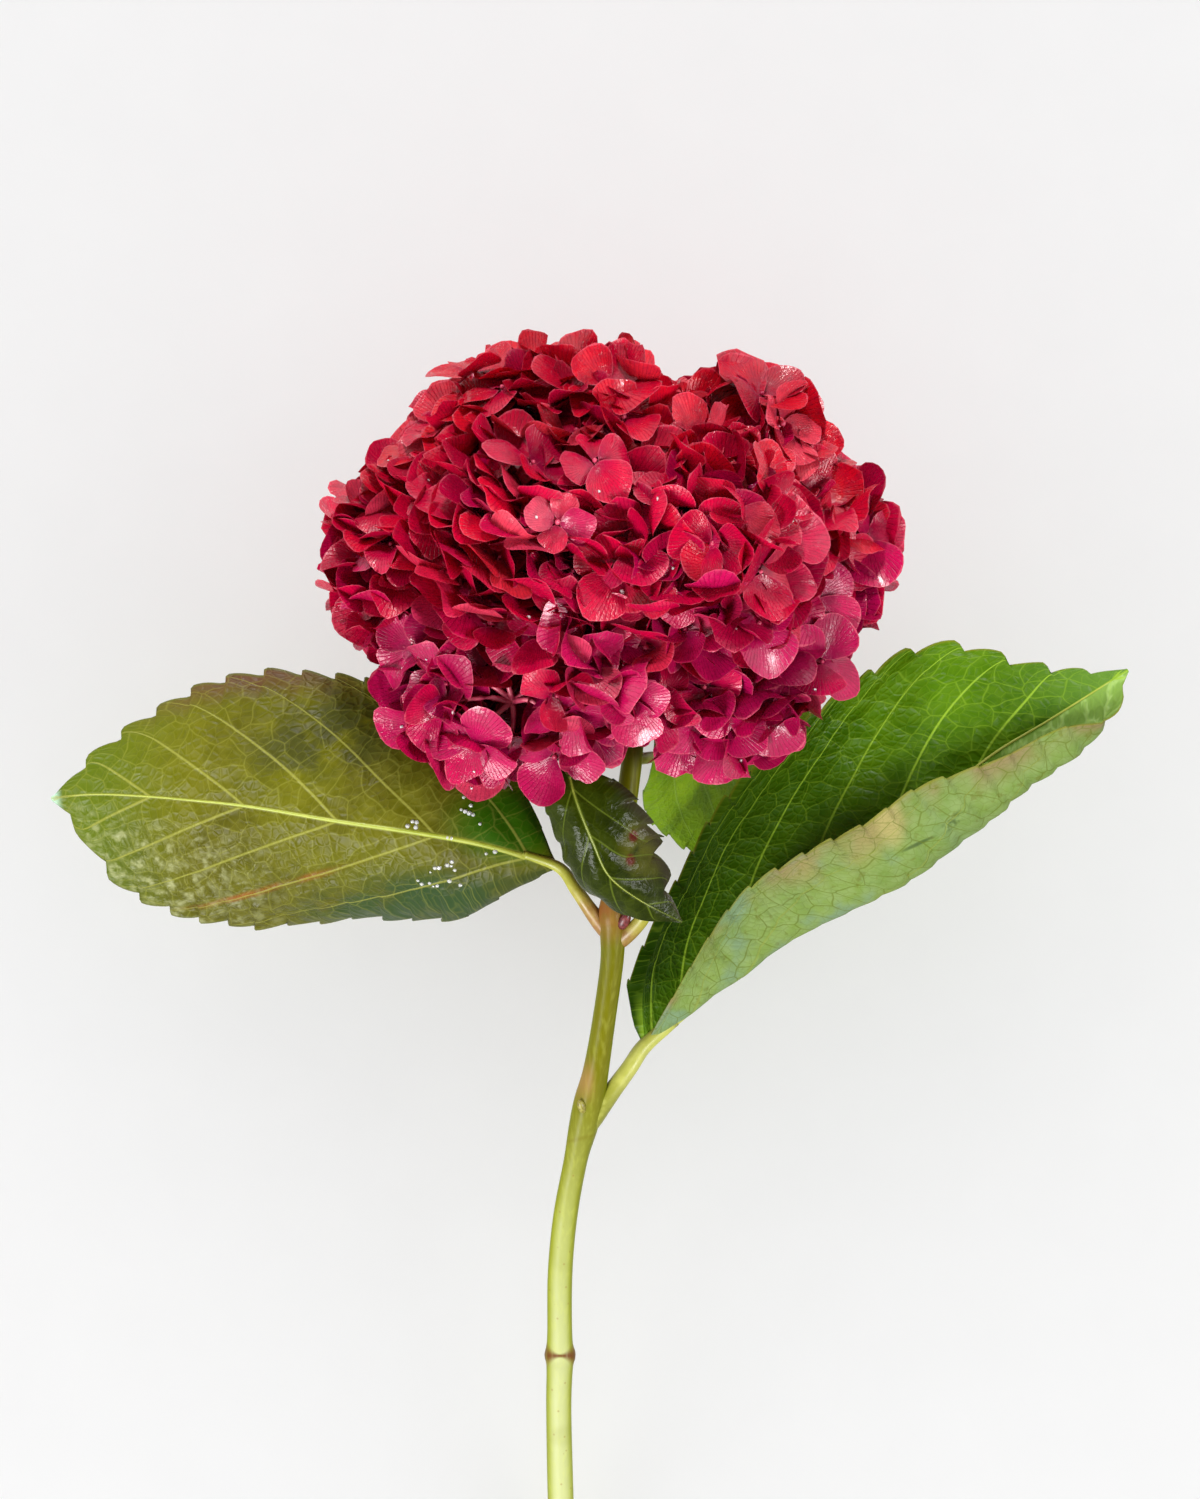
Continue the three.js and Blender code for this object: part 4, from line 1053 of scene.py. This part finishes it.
# The inside is a closed ball whose rays reach a share of the way to the clusters' surface, with
# low lumps from the product of two sines of the ray's direction.
polar = np.linspace(0.03, np.pi - 0.03, CORE_ROWS)[:, None]
round_angle = (np.arange(CORE_COLUMNS) + 0.5) / CORE_COLUMNS * 2 * np.pi
core_rays = np.stack([
    np.sin(polar) * np.cos(round_angle), np.sin(polar) * np.sin(round_angle), np.cos(polar) + 0 * round_angle,
], -1).reshape(-1, 3)
lump_rows = np.sin(core_rays @ np.array([17.0, 3, 5]))
lump_columns = np.sin(core_rays @ np.array([4, 19.0, 13]))
core_reach = bloom_surface(core_rays)[0] * CORE_SHARE + CORE_LUMPS * lump_rows * lump_columns
core_points = BLOOM_CENTRE + core_rays * core_reach[:, None]

core_material, tree, shader, _ = new_material("bloom_inside")
crowd = noise(tree, node(tree, "TexCoord").outputs["Object"], 160.0, 4.0)
skin = blend(tree, rise(tree, crowd, 0.35, 0.7), colour(150, 0, 70), colour(176, 6, 78))
tree.links.new(skin, shader.inputs["Base Color"])
shader.inputs["Roughness"].default_value = 0.8
emboss(tree, shader, crowd, 0.8, 0.002)
core = make_piece("bloom_inside", core_points, tube_quads(CORE_ROWS, CORE_COLUMNS)[:, ::-1], core_material)
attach(core, "root")
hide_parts("flower_head")

branch_share = np.linspace(0, 1, BRANCH_RINGS)[None, :, None]
branch_ends = BLOOM_CENTRE + BRANCH_SHARE * (cyme_centres - BLOOM_CENTRE)
branch_knees = STEM_TOP + np.array([-4.0, 22, 0]) + 0.35 * (branch_ends - STEM_TOP)
branch_lines = bent_lines(STEM_TOP, branch_knees[:, None], branch_ends[:, None], branch_share)
branch_material = blotched_material("branch_skin", 120.0, colour(150, 58, 64), colour(176, 124, 92), 0.45)
branches = make_tubes("bloom_branches", branch_lines, 2.3 - 1.1 * branch_share[..., 0], BRANCH_SIDES,
                      branch_material)
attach(branches, "root")

# Florets
# Each floret is four broad satin sepals round a bead, on a thin pedicel. They crowd over every
# cluster, those on the left standing edge-on in layers and those on the right facing the viewer.
FLORET_SPACING = 12.5
FLORET_STACKING = 5.5
OUTER_SUNK = 3.0
INNER_SPACING = 15.0
INNER_STACKING = 8.0
INNER_SUNK = 13.0
EDGE_ON_SUNK = 6.5
CALM_STACKING = 0.25
SEPAL_LENGTH = (12.5, 16.0)
SEPAL_GRID = 5
SEPAL_THICKNESS = 0.16
SEPAL_GAP = 0.08
RAYS = 9000
STEM_RINGS_IN_BLOOM = 70
CLEAR_OF_STEM = 11.0
CLEAR_OF_LEAF = 8.0
FLORET_STANDS_OUT = 4.0
SEEN_LIFT = 12
rng = np.random.default_rng(11)
# Where the photograph looks between florets, at bare branching on the left and at the stem's top
# in the middle: the places, and how far across each of them no outer and no inner floret stands.
OPENINGS = np.array([[-30.5, -42.0, 100.0], [3.0, -51.0, 70.0]])
OUTER_REACH = np.array([13.5, 10.0])
INNER_REACH = np.array([10.0, 9.0])
# Florets that stand out in the photograph: place, the way it faces, the way its first sepal
# points across the picture, sepal length and how pale it is, a painted sheen at the palest.
SEEN_FLORETS = [
    ([25, 38, 124], [0.1, 0.35, 1.0], 120, 12.5, 0.95),
    ([76, 9, 92], [0.25, 0.1, 1.0], 15, 13.5, 0.6),
    ([33, -46, 104], [0.0, -0.2, 1.0], 250, 13.5, 0.3),
    ([47, -38, 106], [0.15, -0.2, 1.0], 300, 12.5, 0.2),
    ([-38, -53, 101], [-0.05, -0.4, 1.0], 265, 14.0, 0.8),
    ([-16, 12, 148], [0.05, 0.1, 1.0], 80, 9.5, 1.0),
    ([43, -17, 130], [0.1, 0.0, 1.0], 290, 14.0, 0.5),
    ([-36, -17, 128], [-0.1, 0.15, 1.0], 100, 12.5, 0.2),
    ([-72, 9, 96], [-0.15, 0.7, 0.7], 175, 13.5, 0.2),
    ([-76, -3, 92], [-0.3, 0.2, 1.0], 190, 13.5, 0.1),
    ([-5, 30, 142], [-0.2, 0.5, 1.0], 200, 12.5, 0.3),
    ([-3, 59, 96], [0.0, 0.7, 0.7], 60, 12.5, 0.4),
    ([62, -28, 104], [0.4, -0.1, 1.0], 340, 13.0, 0.1),
    ([-19, -44, 114], [0.1, -0.2, 1.0], 30, 12.0, 0.6),
    ([-17, -56, 106], [0.0, -0.4, 1.0], 265, 13.5, 0.3),
    ([-7, -47, 106], [0.1, -0.3, 1.0], 300, 12.0, 0.2),
    ([-51, -41, 110], [-0.3, -0.1, 1.0], 170, 13.0, 0.5),
]
seen_points = np.array([place for place, *_ in SEEN_FLORETS], dtype=float)
seen_facing = unit(np.array([way for _, way, *_ in SEEN_FLORETS], dtype=float))
seen_angle, seen_length, seen_pale_and_sheen = np.array([row[2:] for row in SEEN_FLORETS], dtype=float).T
seen_cyme = np.linalg.norm(seen_points[:, None] - cyme_centres, axis=2).argmin(1)


def floret_sites(spacing, stacking, sunk, seed, taken, opening_reach):
    """Places on the clusters and the way each floret faces. They are taken in random order and
    kept if no kept one is nearer than the spacing across, or the stacking along, the way it
    faces, none is on the stem or in a leaf, and none is under the table. A floret faces between
    the way out of its cluster and the cluster's lean, by the cluster's share, with some scatter,
    and lies deeper the more it is edge-on to the cluster's surface."""
    order = np.random.default_rng(seed)
    rays = even_directions(RAYS)[order.permutation(RAYS)]
    _, point, normal, cyme = bloom_surface(rays)
    share = (cyme_lean_share[cyme] * np.clip(0.6 + 1.2 * normal[:, 2], 0, 1))[:, None]
    facing = unit((1 - share) * unit(0.8 * normal + 0.2 * rays) + share * cyme_leans[cyme])
    facing = unit(facing + cyme_scatter[cyme][:, None] * order.normal(size=facing.shape))
    depth = sunk + EDGE_ON_SUNK * (1 - np.abs((facing * normal).sum(1)))
    point = point - normal * depth[:, None]
    stem_middle = stem_line[:STEM_RINGS_IN_BLOOM, :3]
    grids = (left_points, right_points, back_points)
    blades = np.concatenate([grid[::6, ::5].reshape(-1, 3) for grid in grids])
    stem_near = np.linalg.norm(point[:, None] - stem_middle, axis=2).min(1) < CLEAR_OF_STEM
    leaf_near = np.linalg.norm(point[:, None] - blades, axis=2).min(1) < CLEAR_OF_LEAF
    gone = np.linalg.norm(point[:, None, :2] - OPENINGS[:, :2], axis=2)
    opened = ((gone < opening_reach) & (point[:, 2:] > OPENINGS[:, 2])).any(1)
    usable = ~stem_near & ~leaf_near & ~opened & (point[:, 2] > 2.0)
    point = np.concatenate([taken, point])
    facing = np.concatenate([seen_facing[:len(taken)], facing])
    kept = list(range(len(taken)))
    for index in np.flatnonzero(usable) + len(taken):
        away = point[kept] - point[index]
        along = (away * facing[kept]).sum(1)
        across = (away**2).sum(1) - along**2
        layer = stacking * (1 - CALM_STACKING * cyme_calm[cyme[index - len(taken)]])
        if (across / spacing**2 + along**2 / layer**2 >= 1).all():
            kept.append(index)
    kept = np.array(kept[len(taken):])
    return point[kept], facing[kept], cyme[kept - len(taken)]


outer_points, outer_facing, outer_cyme = floret_sites(
    FLORET_SPACING, FLORET_STACKING, OUTER_SUNK, 5, seen_points, OUTER_REACH)
inner_points, inner_facing, inner_cyme = floret_sites(
    INNER_SPACING, INNER_STACKING, INNER_SUNK, 6, seen_points[:0], INNER_REACH)
centres = np.concatenate([seen_points, outer_points, inner_points])
facing = np.concatenate([seen_facing, outer_facing, inner_facing])
cyme_of = np.concatenate([seen_cyme, outer_cyme, inner_cyme])
count = len(centres)
seen_count = len(seen_points)
outer_count = seen_count + len(outer_points)
deep = (np.arange(count) >= outer_count) * 1.0
calm = cyme_calm[cyme_of]
calm[:seen_count] = 0

# Every floret gets a random turn, size, lift and colour, and the seen ones get their own.
first_axis = unit(np.cross(facing, rng.normal(size=(count, 3))))
spin = rng.uniform(0, np.pi / 2, count)
floret_size = rng.uniform(*SEPAL_LENGTH, count) * (1 - 0.1 * deep)
lift_angle = np.radians(rng.uniform(0, 45, count) * (1 - 0.6 * calm))
redness = 0.5 + 0.012 * (centres[:, 1] - 5) + 0.2 * rng.normal(size=count)
# How pale each floret is: at the top end a painted pale pink sheen, as of lit sepals, and at the low end
# their own darker tone.
paleness_and_sheen = rng.uniform(0, 1, count)
seen_way = np.stack([np.cos(np.radians(seen_angle)), np.sin(np.radians(seen_angle)), 0 * seen_angle], 1)
first_axis[:seen_count] = unit(seen_way - (seen_way * seen_facing).sum(1, keepdims=True) * seen_facing)
spin[:seen_count] = 0
floret_size[:seen_count] = seen_length
lift_angle[:seen_count] = np.radians(SEEN_LIFT)
paleness_and_sheen[:seen_count] = seen_pale_and_sheen
second_axis = np.cross(facing, first_axis)


def disc_grid(cells):
    """A square grid turned to a round one: x sqrt(1 - y^2 / 2), y sqrt(1 - x^2 / 2)."""
    line = np.linspace(-1, 1, cells + 1)
    y, x = np.meshgrid(line, line, indexing="ij")
    return (x * np.sqrt(1 - y**2 / 2)).ravel(), (y * np.sqrt(1 - x**2 / 2)).ravel()


def lens_quads(cells):
    """Quads of a closed lens: an upper grid, and a lower one that shares the upper one's rim."""
    side = cells + 1
    number = np.arange(side * side).reshape(side, side)
    below = number.copy()
    below[1:-1, 1:-1] = side * side + np.arange((side - 2) ** 2).reshape(side - 2, side - 2)

    def quads(grid):
        """One quad for each cell of a grid of point numbers."""
        return np.stack([grid[:-1, :-1], grid[:-1, 1:], grid[1:, 1:], grid[1:, :-1]], -1).reshape(-1, 4)

    inner = number[1:-1, 1:-1].ravel()
    return np.concatenate([quads(number), quads(below)[:, ::-1]]), inner


def lens_points(x, y, upper, lower, inner):
    """Points of a closed lens: the upper grid, then the inner part of the lower one."""
    below = np.stack([x, y, lower], -1)[..., inner, :]
    return np.concatenate([np.stack([x, y, upper], -1), below], -2)


def set_down(local, foot, x_axis, y_axis, z_axis):
    """Small shapes moved to their places: foot + x x_axis + y y_axis + z z_axis."""
    return (foot[:, None] + local[..., :1] * x_axis[:, None] + local[..., 1:2] * y_axis[:, None]
            + local[..., 2:] * z_axis[:, None])


sepal_x, sepal_y = disc_grid(SEPAL_GRID)
sepal_quads, sepal_inner = lens_quads(SEPAL_GRID)
rim_distance = np.sqrt(sepal_x**2 + sepal_y**2)
owner = np.repeat(np.arange(count), 4)
place_in_floret = np.tile(np.arange(4), count)
sepals = len(owner)


def spread(low, high):
    """A random number from low to high for each sepal, as a column."""
    return rng.uniform(low, high, (sepals, 1))


# A sepal is a lens over a disc of points: x goes across it, and t from 0 at its foot to 1 at its
# tip. It is narrow at the foot and broad from the middle on. One in eight is scalloped, and all
# have slow waves in their outline and some a soft point. Along its length it bends in an arc of
# curl radians: y = length sin(curl run) / curl and z = length (1 - cos(curl run)) / curl. It is
# cupped by the square of x, its rim rises and falls in a ruffle, and a groove runs down its middle.
t = (sepal_y + 1) / 2
length = floret_size[owner][:, None] * spread(0.84, 1.14)
half_width = length * spread(0.48, 0.62)
narrow = 0.66 + 0.34 * np.sin(np.pi / 2 * np.clip(t / 0.55, 0, 1))
scalloped = rng.uniform(size=(sepals, 1)) < 0.12
scallops = scalloped * 0.045 * np.cos(11 * np.arctan2(sepal_x, sepal_y - 0.2))
soft_point = spread(0.0, 0.09) * np.exp(-((sepal_x / 0.3) ** 2)) * (t > 0.5)
waves = spread(0.0, 0.06) * np.sin(3 * np.arctan2(sepal_x, sepal_y) + spread(0, 6.28))
outline = 1 + (scallops + waves + soft_point) * rim_distance**5
x = half_width * sepal_x * narrow * outline
curl = spread(-0.9, 1.3)
curl = np.where(np.abs(curl) < 0.05, 0.05, curl)
run = t * outline
y = length * np.sin(curl * run) / curl
z = length * (1 - np.cos(curl * run)) / curl
cup = spread(-0.35, 0.85)
z = z + cup * half_width * sepal_x**2 * (0.35 + 0.65 * t)
ruffle = np.sin(spread(1.6, 4.4) * np.arctan2(sepal_x, sepal_y) + spread(0, 6.28))
z = z + spread(0.2, 1.3) * rim_distance**3 * ruffle
z = z - 0.35 * np.exp(-((sepal_x / 0.2) ** 2)) * (1 - 0.6 * t)
thick = SEPAL_THICKNESS * (1 - rim_distance**4)
sepal_local = lens_points(x, y, z + thick, z - thick, sepal_inner)

# The four sepals of a floret point outward a quarter turn apart, rise from its plane by their
# lift, and roll a little about their own length. Every second one starts 0.4 mm higher.
face = facing[owner]
turn = (spin[owner] + place_in_floret * np.pi / 2 + rng.normal(0, 0.12, sepals))[:, None]
outward = np.cos(turn) * first_axis[owner] + np.sin(turn) * second_axis[owner]
lift = (lift_angle[owner] + rng.normal(0, 0.26, sepals) * (1 - 0.5 * calm[owner]))[:, None]
roll = rng.normal(0, 0.38, (sepals, 1)) * (1 - 0.5 * calm[owner])[:, None]
y_axis = np.cos(lift) * outward + np.sin(lift) * face
level_z = np.cos(lift) * face - np.sin(lift) * outward
level_x = np.cross(y_axis, level_z)
x_axis = np.cos(roll) * level_x + np.sin(roll) * level_z
z_axis = np.cos(roll) * level_z - np.sin(roll) * level_x
foot = centres[owner] + 0.9 * outward + 0.4 * (place_in_floret % 2)[:, None] * face
sepal_points = set_down(sepal_local, foot, x_axis, y_axis, z_axis)

# A floret that would stand too far out of its cluster is drawn back towards the bloom's centre.
ray = sepal_points - BLOOM_CENTRE
ray_length = np.linalg.norm(ray, axis=2)
allowed = bloom_surface(ray.reshape(-1, 3) / ray_length.reshape(-1, 1))[0].reshape(ray_length.shape)
excess = (ray_length - allowed).reshape(count, -1).max(1) - FLORET_STANDS_OUT
excess[:seen_count] = 0
pull = -np.maximum(excess, 0)[:, None] * unit(centres - BLOOM_CENTRE)
centres = centres + pull
sepal_points = sepal_points + pull[owner][:, None]
sepal_points[..., 2] = np.maximum(sepal_points[..., 2], SEPAL_GAP)

petal_material, tree, shader, out = new_material("sepal")
place = node(tree, "TexCoord").outputs["Object"]
pattern = node(tree, "UVMap", uv_map="pattern").outputs[0]
red = marked(tree, "redness")
pale = marked(tree, "paleness_and_sheen")
depth = marked(tree, "depth")
rim = marked(tree, "rim")
mottle = noise(tree, place, 420.0, 2.0)
pores = noise(tree, place, 1600.0, 2.0)
wet = rise(tree, noise(tree, place, 95.0, 1.0), 0.54, 0.66)
skin = blend(tree, rise(tree, red, -0.1, 0.5), colour(194, 14, 88), colour(206, 4, 62))
skin = blend(tree, rise(tree, red, 0.5, 1.1), skin, colour(216, 8, 38))
# The palest sepals turn pale pink: a painted sheen.
skin = blend(tree, rise(tree, pale, 0.8, 1.0, 0.0, 0.5), skin, colour(234, 88, 108))
skin = blend(tree, rise(tree, pale, 0.0, 0.3, 0.45, 0.0), skin, colour(122, 0, 52))
skin = blend(tree, rise(tree, mottle, 0.35, 0.75, 0.0, 0.42), skin, colour(140, 0, 50))
# The inner florets turn a darker purple: painted shade deep inside the bloom.
skin = blend(tree, times(tree, depth, 0.35), skin, colour(170, 0, 92))
parts = node(tree, "SeparateXYZ", {0: pattern}).outputs
# Darker and purpler towards each sepal's foot: painted shade where the sepals crowd together.
skin = blend(tree, rise(tree, parts[1], 0.0, 0.45, 0.4, 0.0), skin, colour(140, 0, 72))
fan_angle = calc(tree, "ARCTAN2", calc(tree, "SUBTRACT", parts[0], 0.5), calc(tree, "ADD", parts[1], 0.12))
fan = calc(tree, "MULTIPLY_ADD", mottle, 0.5, times(tree, fan_angle, 12.0))
fan_line = rise(tree, calc(tree, "PINGPONG", fan, 0.5), 0.0, 0.14, 1.0, 0.0)
skin = blend(tree, times(tree, fan_line, 0.2), skin, colour(130, 0, 50))
# A pale pink line along each sepal's rim: a painted highlight.
skin = blend(tree, rise(tree, rim, 0.95, 1.0, 0.0, 0.5), skin, colour(232, 104, 126))
tree.links.new(skin, shader.inputs["Base Color"])
gloss = calc(tree, "MULTIPLY_ADD", wet, -0.13, rise(tree, mottle, 0.2, 0.8, 0.21, 0.35))
tree.links.new(gloss, shader.inputs["Roughness"])
shader.inputs["Specular IOR Level"].default_value = 0.5
tree.links.new(times(tree, wet, 0.6), shader.inputs["Coat Weight"])
shader.inputs["Coat Roughness"].default_value = 0.16
relief = calc(tree, "MULTIPLY_ADD", fan_line, -0.5, calc(tree, "MULTIPLY_ADD", pores, 0.5, mottle))
normal = emboss(tree, shader, relief, 0.7, 0.0004)
let_light_through(tree, shader, out, blend(tree, 0.35, skin, colour(214, 0, 116)), normal, 0.34)

grid_numbers = np.concatenate([np.arange(len(sepal_x)), sepal_inner])
sepal_uv = np.stack([sepal_x * 0.5 + 0.5, t], -1)[grid_numbers]
sepal_rim = rim_distance[grid_numbers]
per_sepal = len(grid_numbers)
for number, name in enumerate(cyme_names):
    mine = np.flatnonzero(cyme_of[owner] == number)
    quads = repeat_quads(sepal_quads, len(mine), per_sepal)
    piece = make_piece("bloom_" + name, sepal_points[mine].reshape(-1, 3), quads, petal_material)
    mark(piece, "redness", np.repeat(redness[owner][mine] + rng.normal(0, 0.12, len(mine)), per_sepal))
    mark(piece, "paleness_and_sheen", np.repeat(paleness_and_sheen[owner][mine] + rng.normal(0, 0.1, len(mine)), per_sepal))
    mark(piece, "depth", np.repeat(deep[owner][mine], per_sepal))
    mark(piece, "rim", np.tile(sepal_rim, len(mine)))
    crisp_rim(piece, np.tile(sepal_rim > 0.999, len(mine)))
    lay_uv(piece, np.tile(sepal_uv, (len(mine), 1)))
    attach(piece, "root")
    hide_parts("flower_head")

# The bead in the middle of each floret and the pedicel behind it, one piece of each for the bloom.
BEAD_GRID = 4
BEAD_RADIUS = (0.65, 0.95)
BEAD_HEIGHT = 0.95
PEDICEL_RINGS = 6
PEDICEL_SIDES = 6
PEDICEL_RADIUS = 0.55
PEDICEL_GAP = 0.9
pedicel_material = blotched_material("pedicel_skin", 300.0, colour(156, 16, 62), colour(196, 70, 98), 0.35)
bead_x, bead_y = disc_grid(BEAD_GRID)
bead_quads, bead_inner = lens_quads(BEAD_GRID)
bead_height = BEAD_HEIGHT * np.sqrt(np.maximum(1 - (bead_x**2 + bead_y**2) * 0.999, 0))
bead_local = lens_points(bead_x, bead_y, bead_height, -bead_height, bead_inner)
bead_local = bead_local * rng.uniform(*BEAD_RADIUS, (count, 1, 1))
bead_points = set_down(bead_local, centres + 0.9 * facing, first_axis, second_axis, facing)
bead_points[..., 2] = np.maximum(bead_points[..., 2], SEPAL_GAP)
bead_faces = repeat_quads(bead_quads, count, bead_local.shape[1])
beads = make_piece("floret_beads", bead_points.reshape(-1, 3), bead_faces, pedicel_material)
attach(beads, "root")

pedicel_share = np.linspace(0, 1, PEDICEL_RINGS)[None, :, None]
roots = (BLOOM_CENTRE + 0.45 * (centres - BLOOM_CENTRE))[:, None]
knees = (centres - 9 * facing)[:, None]
pedicel_lines = bent_lines(roots, knees, centres[:, None], pedicel_share)
pedicel_lines[..., 2] = np.maximum(pedicel_lines[..., 2], PEDICEL_GAP)
pedicels = make_tubes("floret_pedicels", pedicel_lines, PEDICEL_RADIUS, PEDICEL_SIDES, pedicel_material)
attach(pedicels, "root")

# The bare branching seen in the lower left cluster: a stalk that parts into pedicels at one point.
FORK = np.array([-29.6, -40.1, 118.0])
FORK_TIPS = np.array([
    [-46.0, -39.8, 119], [-22.0, -41.0, 122], [-41.5, -50.5, 115], [-30.5, -53.5, 112], [-34.5, -29.0, 120],
    [-43.0, -32.5, 118], [-18.0, -34.0, 119], [-16.0, -28.0, 94],
])
FORK_SIDES = 8
FORK_BOW = 2.2
fork_lines = FORK + pedicel_share * (FORK_TIPS - FORK)[:, None]
fork_lines = fork_lines + FORK_BOW * np.sin(np.pi * pedicel_share) * np.array([0.4, 0.5, 0.75])
fork_material = blotched_material(
    "open_branching_skin", 300.0, colour(166, 42, 76), colour(198, 92, 110), 0.35)
fork = make_tubes("open_branching", fork_lines, 0.95 - 0.3 * pedicel_share[..., 0], FORK_SIDES, fork_material)
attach(fork, "root")

# Dew
# Drops of water left on the flower, clear, with a painted white sparkle: two short rows and a cluster
# on the left leaf, and scattered ones on the sepals. Each is a low dome that sits on the face below it.
# Each row has its start and end as seen from above, its number of drops, and their scatter.
DEW_ROWS = [
    ((-46, -69), (-37, -80), 8, 0.9),
    ((-59, -94), (-46.5, -90), 16, 1.8),
    ((-62, -75), (-28, -88.5), 9, 1.0),
]
DEW_ON_SEPALS = 150
DEW_RADIUS = (0.35, 0.8)
leaf_spots = left_points.reshape(-1, 3)
leaf_ways = left_faces.reshape(-1, 3)
drop_places = []
drop_ways = []
for first, last, drops, scatter in DEW_ROWS:
    spots = np.array(first) + rng.uniform(size=(drops, 1)) * (np.array(last) - np.array(first))
    spots = spots + rng.normal(0, scatter, (drops, 2))
    nearest = np.linalg.norm(leaf_spots[:, None, :2] - spots, axis=2).argmin(0)
    drop_places.append(leaf_spots[nearest] + 0.5 * BLADE_THICKNESS * leaf_ways[nearest])
    drop_ways.append(leaf_ways[nearest])
outer_sepals = np.flatnonzero((owner < outer_count) & (np.abs(z_axis[:, 2]) > 0.3))
wet_sepals = rng.choice(outer_sepals, DEW_ON_SEPALS, replace=False)
wet_spots = rng.choice(np.flatnonzero(rim_distance < 0.8), DEW_ON_SEPALS)
upward = np.sign(z_axis[wet_sepals, 2:]) * z_axis[wet_sepals]
drop_places.append(sepal_points[wet_sepals, wet_spots] + 0.2 * upward)
drop_ways.append(upward)
drop_places = np.concatenate(drop_places)
drop_ways = unit(np.concatenate(drop_ways))
drop_side = unit(np.cross(drop_ways, [0.3, 1.0, 0.2]))
drop_front = np.cross(drop_ways, drop_side)
drop_local = lens_points(bead_x, bead_y, 0.7 * bead_height, -0.15 * bead_height, bead_inner)
drop_local = drop_local * rng.uniform(*DEW_RADIUS, (len(drop_places), 1, 1))
drop_points = set_down(drop_local, drop_places, drop_side, drop_front, drop_ways)
drop_faces = repeat_quads(bead_quads, len(drop_places), drop_local.shape[1])
dew_material, tree, shader, _ = new_material("dew")
cloud = noise(tree, node(tree, "TexCoord").outputs["Object"], 200.0)
tree.links.new(rise(tree, cloud, 0.3, 0.7, 0.0, 0.04), shader.inputs["Roughness"])
# A white base under only partial transmission paints the clear drops whitish: a painted highlight.
shader.inputs["Base Color"].default_value = colour(250, 250, 250)
shader.inputs["Transmission Weight"].default_value = 0.6
shader.inputs["IOR"].default_value = 1.33
dew = make_piece("dew_drops", drop_points.reshape(-1, 3), drop_faces, dew_material)
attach(dew, "root")
